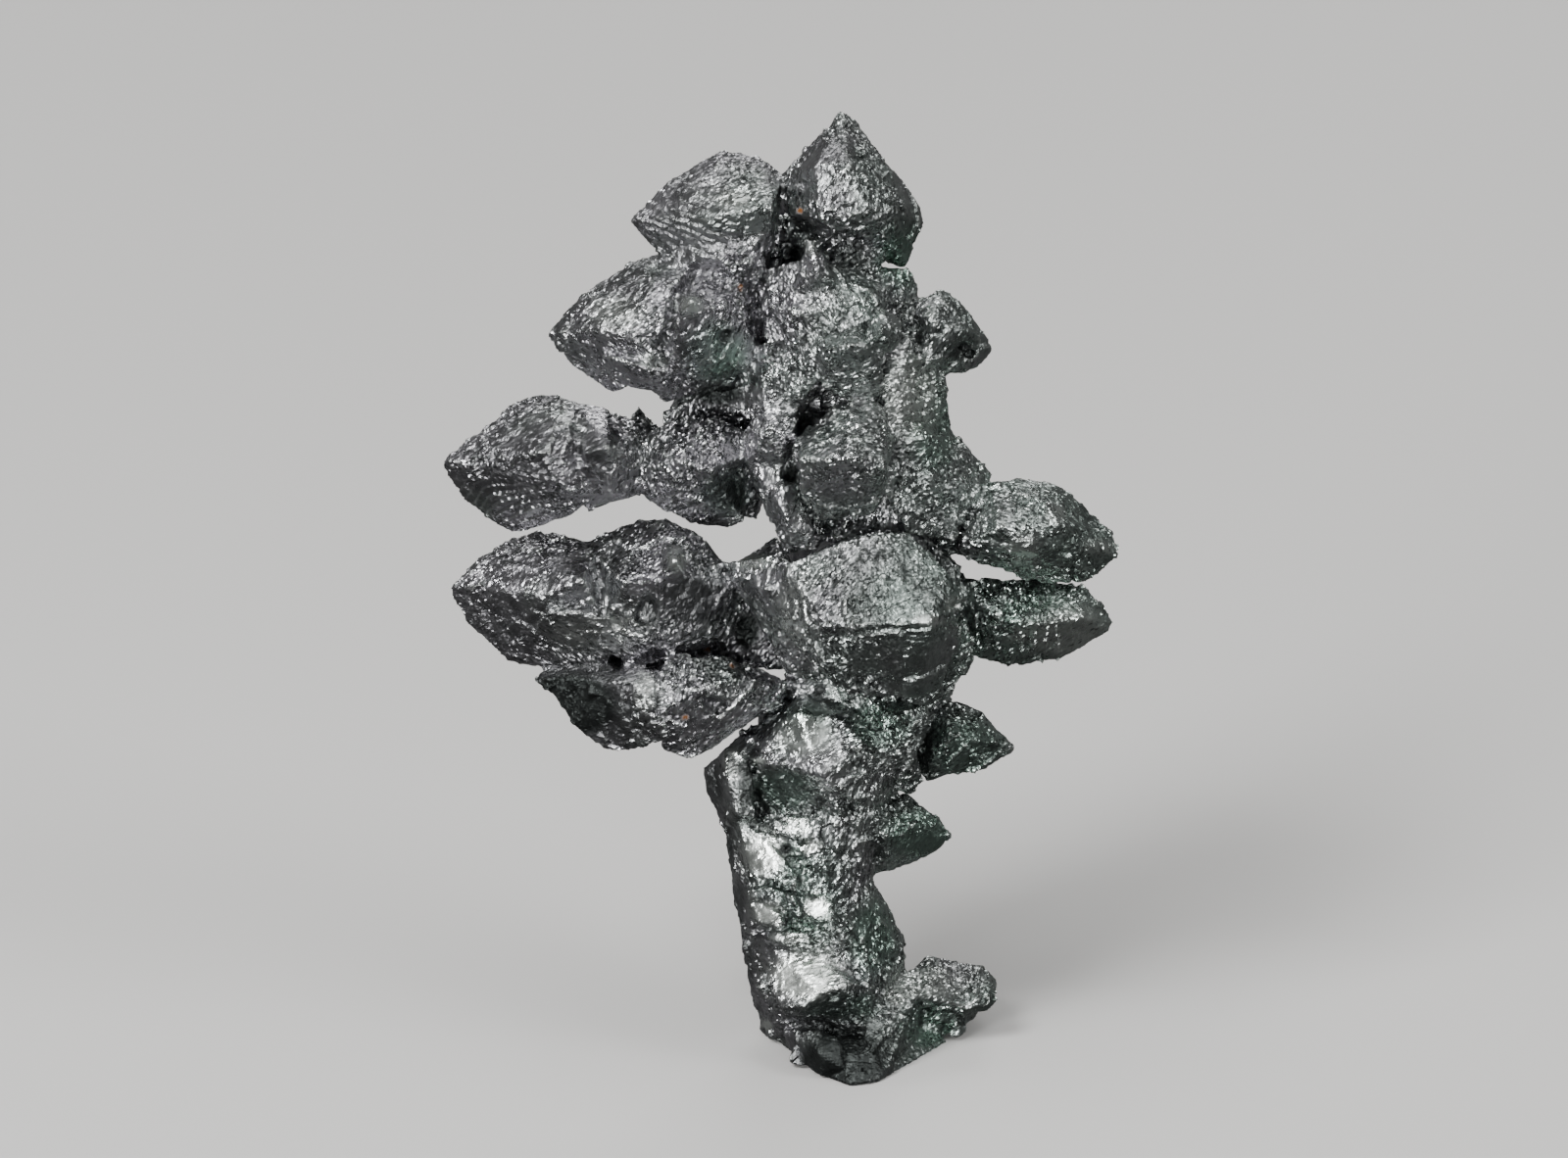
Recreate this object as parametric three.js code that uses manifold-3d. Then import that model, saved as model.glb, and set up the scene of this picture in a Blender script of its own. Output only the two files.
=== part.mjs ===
// Acanthite, silver sulfide: one tree-shaped group of crystals that grew into each other, 51 mm tall.
// The crystals are stretched octahedra. They stand out of a thick stem to the left, the right and the
// front, and more of them clothe the back. The foot is cut off flat, and the group rests on the cut.
// Millimetres, +Z up, +X to the right, +Y away from the front. The origin is the middle of the cut.
import * as THREE from 'three';
import { ConvexGeometry } from 'three/addons/geometries/ConvexGeometry.js';
import { mergeVertices } from 'three/addons/utils/BufferGeometryUtils.js';
import Module from 'manifold-3d';

const wasm = await Module();
wasm.setup();

// Driving dimensions
const LOOK_DOWN = THREE.MathUtils.degToRad(20);  // corners are given as they show from this far above the level
const FOOT_MIDDLE = [0.0, 4.9];  // the middle of the cut, as [across, back]
const CUT_BOX = 60;              // side of the block that cuts the foot off flat
const CRUMB = 0.5;               // mm3, a loose piece smaller than this is left out
const CRYSTAL_GREY = 0x6f7271;

// Growth ledges: a layer that thickens away from one corner of a face and ends in a low cliff
const LEDGE_LEAST_AREA = 15;     // mm2, on smaller faces there is none
const LEDGE_RISE = [0.15, 0.38];
const LEDGE_REACH = [0.4, 0.85]; // where the cliff runs, from the corner to the far edge
const LEDGE_INSET = 0.12;        // how far the layer stays inside the edges of the face
const LEDGE_SINK = 0.4;          // how far a layer reaches down into its crystal

// Parallel growth: small blocks and octahedra that stand nearly the way their crystal stands
const GROWTH_SPACING = 84;       // mm2 of face for each small crystal
const GROWTH_GIRTH = [0.5, 1.25];
const GROWTH_STRETCH = [1.0, 1.6];
const GROWTH_SINK = [0.35, 0.7]; // how deep its middle lies under the face, in girths
const GROWTH_TURN = 0.2;         // radians, how far one may stand askew

// A repeatable stream of numbers from 0 to 1, so that every build gives the same group
function numbers(seed) {
  let state = seed;
  return () => {
    state = (state + 0x6d2b79f5) | 0;
    let t = Math.imul(state ^ (state >>> 15), 1 | state);
    t = (t + Math.imul(t ^ (t >>> 7), 61 | t)) ^ t;
    return ((t ^ (t >>> 14)) >>> 0) / 4294967296;
  };
}

// A place between two limits
const between = ([low, high], share) => low + (high - low) * share;

// A corner as it shows from the front: across to the right, up in the plane of sight, and back from
// the front of the foot. Its height follows from the angle of sight.
function corner([across, up, back]) {
  const height = (up - back * Math.sin(LOOK_DOWN)) / Math.cos(LOOK_DOWN);
  return new THREE.Vector3(across, back, height);
}

// A three.js geometry as a solid that can be joined and cut
function solidOf(geometry) {
  const bare = geometry.clone();
  bare.deleteAttribute('normal');
  bare.deleteAttribute('uv');
  const merged = mergeVertices(bare, 1e-4);
  return new wasm.Manifold(new wasm.Mesh({
    numProp: 3,
    vertProperties: merged.attributes.position.array,
    triVerts: new Uint32Array(merged.index.array),
  }));
}

// The convex solid that has these corners
const hull = (points) => new ConvexGeometry(points);

// The faces of a hull as triangles with their area, outward normal and middle
function facesOf(geometry) {
  const place = geometry.attributes.position;
  const faces = [];
  for (let i = 0; i < place.count; i += 3) {
    const points = [0, 1, 2].map((k) => new THREE.Vector3().fromBufferAttribute(place, i + k));
    const triangle = new THREE.Triangle(...points);
    faces.push({
      points,
      area: triangle.getArea(),
      normal: triangle.getNormal(new THREE.Vector3()),
      middle: triangle.getMidpoint(new THREE.Vector3()),
    });
  }
  return faces;
}

// A ledge on a face: flush at one corner, raised along the line where it ends
function ledge(face, next) {
  const from = Math.floor(next() * 3);
  const [a, b, c] = [0, 1, 2].map((k) => face.points[(from + k) % 3].clone().lerp(face.middle, LEDGE_INSET));
  const ends = [b, c].map((far) => a.clone().lerp(far, between(LEDGE_REACH, next())));
  const rise = between(LEDGE_RISE, next());
  const raised = ends.map((p) => p.clone().addScaledVector(face.normal, rise));
  const root = [a, ...ends].map((p) => p.clone().addScaledVector(face.normal, -LEDGE_SINK));
  return hull([a, ...raised, ...root]);
}

// A small block or octahedron with its long axis along the given way
function bud(place, way, girth, stretch, roll, blocky) {
  const side = 1.2 * girth;
  const form = blocky ? new THREE.BoxGeometry(side, side, side) : new THREE.OctahedronGeometry(girth);
  form.scale(1, 1, stretch);
  form.rotateZ(roll);
  form.applyQuaternion(new THREE.Quaternion().setFromUnitVectors(new THREE.Vector3(0, 0, 1), way));
  form.translate(place.x, place.y, place.z);
  return form;
}

// Small crystals scattered over the faces of a larger one, all standing nearly the same way
function buds(faces, way, roll, density, next) {
  const grown = [];
  for (const face of faces) {
    const count = Math.floor(face.area * density / GROWTH_SPACING + next());
    for (let n = 0; n < count; n += 1) {
      let [u, v] = [next(), next()];
      if (u + v > 1) [u, v] = [1 - u, 1 - v];
      const [a, b, c] = face.points;
      const place = a.clone().addScaledVector(b.clone().sub(a), u).addScaledVector(c.clone().sub(a), v);
      const girth = between(GROWTH_GIRTH, next() ** 2);
      place.addScaledVector(face.normal, -girth * between(GROWTH_SINK, next()));
      const askew = new THREE.Vector3(next() - 0.5, next() - 0.5, next() - 0.5);
      const stand = way.clone().addScaledVector(askew, 2 * GROWTH_TURN).normalize();
      grown.push(bud(place, stand, girth, between(GROWTH_STRETCH, next()), roll, next() < 0.5));
    }
  }
  return grown;
}

// A large crystal: the solid of its corners, with ledges and small crystals on its faces. Its first
// corner is its tip, and the small crystals point that way. overgrown is how thickly they stand.
function crystal(corners, overgrown, next) {
  const points = corners.map(corner);
  const body = hull(points);
  const middle = points.reduce((sum, p) => sum.add(p), new THREE.Vector3()).divideScalar(points.length);
  const way = points[0].clone().sub(middle).normalize();
  const faces = facesOf(body);
  const ledges = faces.filter((face) => face.area > LEDGE_LEAST_AREA).map((face) => ledge(face, next));
  return [body, ...ledges, ...buds(faces, way, next() * Math.PI, overgrown, next)];
}

// Every crystal by its corners, each [across, up, back]. The tip comes first.

// The foot: a heel that meets the ground in front, a sole, a toe to the right, the root of the stem, and
// a prow with a large facet over the heel
const FOOT = {
  heel: [
    [-0.6, 0.1, -0.1], [0.4, 0.2, 0.1], [1.0, 0.4, 0.6], [1.6, 1.2, 3.2], [-2.1, 0.7, 1.4],
    [-3.5, 1.6, 3.9], [-4.0, 2.5, 4.6], [-0.8, 1.7, 1.2], [0.4, 1.6, 1.2], [0.6, 2.8, 3.0],
    [-1.2, 2.8, 3.0], [-3.0, 4.0, 5.2], [1.2, 3.6, 5.0],
  ],
  heel_lump: [
    [-2.2, 1.7, 0.4], [-4.05, 2.8, 3.6], [-3.8, 2.1, 4.4], [-3.0, 1.1, 2.5], [-2.1, 0.5, 1.1],
    [-1.0, 0.9, 0.4], [-0.8, 1.8, 0.7], [-1.3, 2.6, 1.4], [-2.2, 2.85, 1.7], [-3.0, 2.8, 2.2],
    [-2.4, 3.0, 4.4],
  ],
  sole: [
    [-0.6, -0.45, -0.4], [1.1, -0.2, 0.3], [5.1, 1.75, 6.3], [1.4, 2.6, 10.2], [-3.4, 2.7, 10.2],
    [-5.5, 1.9, 8.2], [-2.2, 0.1, 1.2], [-0.6, 2.0, 1.6], [1.4, 2.2, 3.6], [3.4, 2.8, 6.2],
    [1.2, 4.4, 9.0], [-2.8, 4.6, 9.4], [-4.4, 4.1, 7.6], [-3.0, 3.1, 4.8],
  ],
  toe: [
    [7.05, 5.2, 8.6], [6.3, 6.05, 8.6], [5.2, 6.3, 8.0], [3.5, 6.65, 7.0], [3.0, 6.1, 6.6], [2.3, 4.4, 4.3],
    [3.3, 4.65, 4.4], [4.2, 4.3, 4.8], [5.3, 3.9, 5.4], [6.2, 4.1, 6.4], [6.9, 4.6, 7.8], [5.6, 4.9, 12.2],
    [6.6, 5.3, 10.8], [2.6, 5.2, 9.0],
  ],
  instep: [
    [0.2, 1.8, 1.1], [0.6, 1.7, 0.9], [1.2, 3.0, 2.1], [2.3, 4.3, 4.0], [3.2, 4.7, 4.6], [3.0, 6.1, 6.6],
    [1.9, 5.4, 5.4], [1.0, 4.8, 3.9], [0.6, 3.6, 2.6], [0.1, 2.6, 1.8], [3.5, 6.6, 7.2], [2.2, 4.4, 11.8],
  ],
  toe_left: [
    [0.7, 0.4, 0.5], [1.1, 0.4, 0.8], [1.9, 1.1, 2.9], [3.0, 2.0, 5.4], [0.6, 1.7, 1.1], [1.2, 3.0, 2.6],
    [2.3, 4.2, 4.5], [2.9, 4.5, 5.1], [2.9, 3.0, 5.4], [1.6, 3.4, 7.0], [3.2, 3.6, 8.0],
  ],
  toe_right: [
    [2.8, 2.4, 6.2], [4.3, 2.5, 6.7], [2.9, 4.4, 5.9], [4.2, 4.1, 6.1], [5.3, 3.8, 6.2], [6.2, 4.0, 7.2],
    [5.9, 3.2, 7.9], [3.0, 3.6, 11.0], [5.4, 4.4, 11.6], [4.4, 3.0, 8.0],
  ],
  toe_pebble: [
    [5.0, 2.25, 6.2], [4.4, 2.5, 6.2], [4.9, 3.1, 6.1], [5.5, 2.9, 6.5], [5.4, 2.6, 6.8], [4.3, 2.6, 6.7],
    [4.5, 3.0, 8.0], [5.4, 3.4, 8.4],
  ],
  root: [
    [-5.1, 2.0, 8.0], [-5.3, 3.4, 7.2], [-5.9, 5.6, 5.9], [-6.05, 7.6, 5.6], [-6.6, 9.6, 5.1],
    [-4.5, 4.6, 3.3], [-5.0, 7.2, 2.9], [-5.9, 10.9, 2.8], [-0.4, 5.2, 1.9], [-1.6, 7.6, 1.5],
    [-3.0, 9.0, 1.6], [-0.6, 11.2, 1.8], [2.25, 6.7, 4.6], [2.05, 7.6, 4.8], [0.6, 10.6, 4.0],
    [1.1, 4.8, 3.6],
    [-4.2, 2.6, 4.2], [0.3, 3.0, 2.0], [-3.4, 2.4, 9.6], [1.8, 3.4, 10.6], [1.8, 7.4, 11.4],
    [-0.8, 10.6, 9.4], [-4.8, 10.2, 8.8],
  ],
  prow: [
    [-0.6, 5.35, 0.5], [-0.9, 5.1, 0.4], [-2.2, 4.85, 0.3], [-3.1, 4.1, 0.4], [-4.1, 4.05, 0.9],
    [-4.95, 5.3, 2.2], [-4.4, 6.9, 2.7], [-2.4, 6.9, 2.2], [-1.6, 6.2, 1.5], [1.0, 5.0, 2.2],
    [-3.9, 3.3, 3.4], [0.3, 3.2, 2.8], [-3.0, 5.0, 5.0],
  ],
};

// The stem from the foot to the crown, with its small thorns to the right
const STEM = {
  shank: [
    [-7.0, 13.4, 5.4], [-6.6, 9.2, 5.2], [-5.7, 7.6, 3.0], [-6.3, 13.6, 3.0], [-2.9, 9.8, 1.3],
    [-3.6, 13.0, 1.7], [-1.2, 13.8, 1.5], [-1.0, 8.8, 1.6], [0.5, 10.6, 3.2], [0.9, 14.6, 2.4],
    [0.4, 10.4, 10.6], [1.3, 14.0, 11.4],
    [-1.6, 9.2, 9.4], [-2.0, 14.4, 9.8], [-5.6, 9.2, 8.9], [-6.0, 14.2, 9.0],
  ],
  shoulder: [
    [-7.0, 17.45, 3.3], [-8.15, 16.4, 4.7], [-6.1, 17.0, 3.0], [-5.6, 15.9, 2.2], [-5.5, 13.8, 2.0],
    [-6.4, 14.0, 1.8], [-6.9, 15.7, 2.1], [-8.05, 15.1, 4.9], [-7.05, 13.0, 5.3], [-6.6, 17.2, 7.0],
    [-6.0, 13.0, 8.4],
  ],
  brow: [
    [-3.0, 20.15, 2.8], [-7.0, 17.3, 4.8], [-5.6, 16.75, 1.9], [-3.2, 19.2, 1.0], [-2.2, 16.0, -0.4],
    [0.3, 14.2, 0.6], [0.1, 17.6, 0.4], [-1.4, 19.1, 1.1], [1.6, 18.8, 2.8], [1.7, 14.9, 3.8],
    [-2.2, 20.4, 9.6], [1.6, 15.6, 12.4], [-5.2, 16.4, 9.4],
  ],
  waist: [
    [-5.4, 16.6, 1.8], [-2.3, 15.8, 0.6], [-2.9, 13.8, 2.9], [-5.2, 14.1, 3.6], [1.0, 12.0, 3.2],
    [1.3, 15.4, 3.4], [-0.4, 13.4, 1.6], [-2.0, 16.6, 9.4], [-4.8, 13.0, 9.0], [1.2, 13.0, 8.4],
  ],
  neck: [
    [-6.3, 17.1, 3.4], [-3.8, 17.6, 3.4], [-5.9, 13.8, 3.9], [-4.2, 13.0, 3.6], [-5.4, 15.2, 8.8],
    [-2.0, 15.2, 8.8],
  ],
  thorn_low: [
    [4.6, 12.85, 5.2], [4.2, 13.5, 4.8], [3.4, 14.2, 4.7], [2.2, 15.05, 5.0], [4.1, 12.15, 5.3],
    [2.9, 11.5, 5.2], [1.6, 11.45, 5.2], [0.5, 10.8, 4.4], [2.5, 13.4, 3.0], [0.6, 13.8, 2.0],
    [1.2, 12.0, 2.8], [2.4, 13.2, 8.2], [-0.4, 13.4, 7.0],
  ],
  thorn_high: [
    [7.85, 17.3, 6.6], [7.0, 18.3, 6.3], [6.0, 19.3, 6.1], [5.3, 19.65, 5.9], [4.2, 19.9, 5.4],
    [6.3, 16.35, 6.0], [5.0, 16.0, 5.5], [3.3, 15.6, 5.2], [4.5, 18.0, 3.4], [5.9, 17.7, 4.4],
    [3.6, 16.9, 3.8], [5.0, 18.4, 9.8], [1.6, 18.0, 7.0],
  ],
  cheek: [
    [0.2, 19.9, 2.6], [3.8, 20.1, 3.8], [3.3, 18.2, 2.6], [2.6, 16.9, 2.2], [1.5, 15.0, 3.0],
    [0.1, 17.4, 1.2], [1.8, 18.9, 1.3], [0.8, 16.2, 1.5], [3.0, 18.5, 8.4], [0.2, 18.0, 8.8],
  ],
  wedge: [
    [2.8, 17.1, 2.8], [3.2, 15.6, 4.2], [2.4, 14.9, 4.0], [1.3, 15.3, 2.8], [1.0, 16.2, 2.6],
    [2.4, 16.5, 6.5],
  ],
};

// Bright shingles on the front of the stem. Each is a thin slab whose outline runs from its upper left,
// where it lies deep, to its lower right, where it stands out.
const SHINGLES = {
  high: [
    [-3.4, 10.1, 0.3], [-3.3, 11.0, 0.9], [-4.5, 12.1, 1.7], [-5.2, 13.1, 2.4], [-6.3, 13.6, 3.0],
    [-5.8, 10.9, 1.8], [-4.6, 10.6, 1.0],
  ],
  under_neck: [
    [-2.1, 12.9, 0.9], [-2.2, 13.9, 1.7], [-4.7, 13.8, 2.4], [-4.4, 13.0, 1.7], [-3.2, 12.7, 1.1],
  ],
  beside_pit: [
    [-2.0, 12.1, 0.6], [-2.0, 12.7, 0.9], [-3.3, 12.4, 1.4], [-3.0, 11.7, 0.8],
  ],
  middle: [
    [-3.3, 9.3, 0.6], [-3.6, 9.9, 1.0], [-4.9, 10.3, 1.8], [-5.8, 10.1, 2.4], [-5.7, 9.7, 2.1],
    [-4.5, 9.2, 1.2],
  ],
  low: [
    [-3.8, 8.2, 0.5], [-3.9, 8.6, 0.8], [-5.0, 9.4, 1.9], [-5.8, 9.4, 2.4], [-5.3, 8.4, 1.5],
    [-4.1, 8.0, 0.7],
  ],
  right: [
    [-1.3, 8.5, 0.3], [-1.6, 9.5, 1.0], [-3.0, 9.7, 1.6], [-3.0, 9.0, 1.0], [-2.1, 8.4, 0.4],
  ],
  lowest: [
    [-2.6, 7.3, 0.7], [-2.8, 7.9, 1.1], [-4.4, 8.0, 1.9], [-4.9, 7.6, 2.0], [-3.9, 7.2, 1.2],
  ],
};
const SHINGLE_DEPTH = 1.9;

function shingle(corners) {
  const sunk = corners.map(([across, up, back]) => [across - 0.3, up + 0.3, back + SHINGLE_DEPTH]);
  return hull([...corners, ...sunk].map(corner));
}

// The heart of the crown, which carries the crystals
const HEART = {
  core_low: [
    [0.0, 28.5, 4.0], [-3.6, 26.6, 3.6], [-4.6, 23.4, 3.4], [-3.4, 19.4, 3.4], [0.2, 18.6, 2.4],
    [4.4, 19.8, 3.4], [5.4, 22.4, 3.6], [5.0, 26.6, 3.8], [3.0, 28.4, 3.4], [-3.0, 21.0, 9.6],
    [3.0, 20.0, 13.0], [3.8, 27.0, 13.4], [-3.4, 26.4, 9.2],
  ],
  core_high: [
    [-1.0, 42.4, 4.6], [-4.9, 41.2, 4.4], [-5.0, 36.6, 3.6], [-4.6, 31.4, 3.2], [-3.8, 28.2, 3.6],
    [2.6, 28.2, 3.4], [4.1, 31.6, 4.0], [3.8, 36.2, 4.0], [2.5, 40.9, 4.4], [-3.6, 29.6, 9.4],
    [3.4, 30.0, 13.4], [2.2, 39.6, 12.6], [-4.2, 39.4, 9.2],
  ],
  upper_mass: [
    [-3.4, 42.2, 2.2], [-5.5, 41.5, 3.6], [1.5, 41.6, 3.0], [2.35, 41.7, 4.0], [2.75, 41.0, 4.4],
    [2.65, 40.0, 4.2], [2.2, 38.0, 3.6], [0.6, 40.4, 1.1], [-3.6, 39.8, 1.1], [-4.8, 38.0, 1.9],
    [-1.0, 39.8, 0.5], [-2.9, 37.4, 0.9], [0.8, 37.4, 1.0], [-4.0, 38.6, 8.8], [1.6, 38.6, 8.8],
  ],
  upper_left_mass: [
    [-6.9, 35.4, 3.6], [-5.0, 38.0, 2.7], [-4.6, 36.2, 1.2], [-3.0, 35.1, 0.9], [-5.8, 34.3, 2.1],
    [-2.1, 36.2, 0.9], [-2.0, 37.8, 0.6], [-6.3, 36.8, 5.0], [-4.0, 35.4, 7.6],
  ],
  knot: [
    [-5.0, 35.2, 1.7], [-6.1, 33.5, 2.9], [-3.1, 34.9, 1.3], [-3.6, 33.0, 1.1], [-3.9, 31.8, 1.4],
    [-6.0, 31.8, 2.5], [-4.9, 33.3, 0.5], [-4.2, 32.4, 0.5], [-5.2, 33.2, 5.6], [-3.4, 33.4, 5.6],
  ],
  behind_top: [
    [-4.4, 44.4, 5.6], [-1.6, 44.4, 5.2], [-4.6, 41.0, 6.0], [-1.6, 41.4, 5.0], [-3.0, 44.6, 9.0],
    [-3.0, 41.0, 9.0],
  ],
  behind_upper_left: [
    [-9.4, 43.2, 6.0], [-4.2, 42.8, 5.4], [-9.2, 41.2, 5.8], [-4.4, 37.4, 5.0], [-6.2, 37.4, 5.6],
    [-7.6, 43.4, 8.4], [-4.0, 42.4, 8.6], [-5.0, 37.6, 8.8],
  ],
  behind_lower_left: [
    [-9.4, 26.2, 5.6], [-4.0, 26.4, 5.4], [-9.0, 21.8, 6.0], [-4.0, 21.4, 5.4], [-8.4, 25.4, 9.2],
    [-3.8, 25.6, 9.4], [-4.2, 22.0, 9.2],
  ],
  between_upper_left: [
    [-9.8, 43.2, 3.8], [-4.9, 43.6, 2.4], [-9.6, 41.8, 3.2], [-5.2, 40.8, 2.4], [-7.2, 42.6, 1.9],
    [-6.0, 42.4, 1.5], [-8.6, 42.2, 7.0], [-4.6, 42.0, 6.6],
  ],
  behind_inner_left: [
    [-10.2, 34.5, 6.4], [-4.6, 36.2, 5.4], [-9.8, 32.4, 6.2], [-4.4, 33.0, 5.2], [-7.6, 35.6, 5.6],
    [-8.0, 35.2, 9.4], [-4.2, 35.0, 9.0],
  ],
  behind_fourth_left: [
    [-14.2, 23.0, 5.4], [-9.6, 23.2, 5.0], [-13.8, 20.6, 4.6], [-9.6, 20.4, 4.4], [-12.0, 21.8, 8.4],
  ],
  behind_right: [
    [6.8, 29.4, 5.4], [3.6, 30.2, 5.0], [3.8, 27.0, 5.2], [6.4, 27.6, 5.6], [3.2, 28.6, 9.4],
    [6.6, 28.8, 8.8],
  ],
  strut: [
    [-3.9, 27.15, 1.7], [-6.0, 31.9, 2.6], [-4.0, 31.9, 1.5], [-3.9, 30.6, 1.5], [-3.3, 29.8, 1.2],
    [-2.4, 28.5, 1.2], [-2.6, 27.7, 1.3], [-4.6, 28.6, 2.1], [-5.1, 29.6, 2.5], [-4.1, 29.6, 0.6],
    [-3.5, 28.4, 0.7], [-4.4, 30.0, 4.6], [-3.2, 28.6, 4.4],
  ],
  right_flank_high: [
    [2.2, 38.3, 3.0], [4.15, 36.6, 5.0], [4.15, 34.4, 4.8], [4.6, 33.4, 4.8], [2.0, 33.0, 1.1],
    [1.6, 33.2, 1.0], [1.0, 35.4, 1.5], [0.9, 37.5, 2.5], [2.6, 36.0, 9.6], [0.8, 32.0, 4.0],
  ],
  right_flank_low: [
    [6.65, 31.35, 5.4], [4.85, 33.3, 5.0], [3.6, 34.2, 4.4], [5.9, 30.3, 3.9], [4.6, 28.0, 2.7],
    [2.2, 28.3, 1.5], [1.0, 30.8, 1.3], [1.6, 33.2, 1.0], [2.9, 33.6, 1.4], [3.5, 31.2, 1.5],
    [5.4, 31.2, 9.6], [2.6, 29.0, 9.6],
  ],
  left_flank: [
    [-7.2, 26.9, 3.2], [-4.3, 27.2, 1.2], [-6.0, 25.2, 2.1], [-4.7, 22.8, 1.3], [-3.9, 21.2, 1.4],
    [-2.0, 20.5, 0.4], [-3.9, 24.5, -0.6], [-3.1, 26.6, -0.4], [-5.4, 25.0, 6.4], [-2.4, 22.0, 6.8],
  ],
  lap: [
    [5.65, 21.95, 2.8], [4.9, 20.7, 2.5], [3.9, 19.7, 2.4], [2.2, 19.5, 1.2], [4.8, 22.9, 0.6],
    [3.2, 21.0, 0.4], [5.2, 24.4, 2.2], [3.6, 22.0, 7.0],
  ],
  leaf: [
    [-6.7, 26.75, 4.6], [-4.4, 28.25, 5.4], [-4.0, 27.1, 3.0], [-4.3, 26.5, 2.9], [-5.5, 26.4, 3.9],
    [-3.6, 27.0, 6.4],
    [-3.4, 25.9, 4.2],
  ],
};

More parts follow.
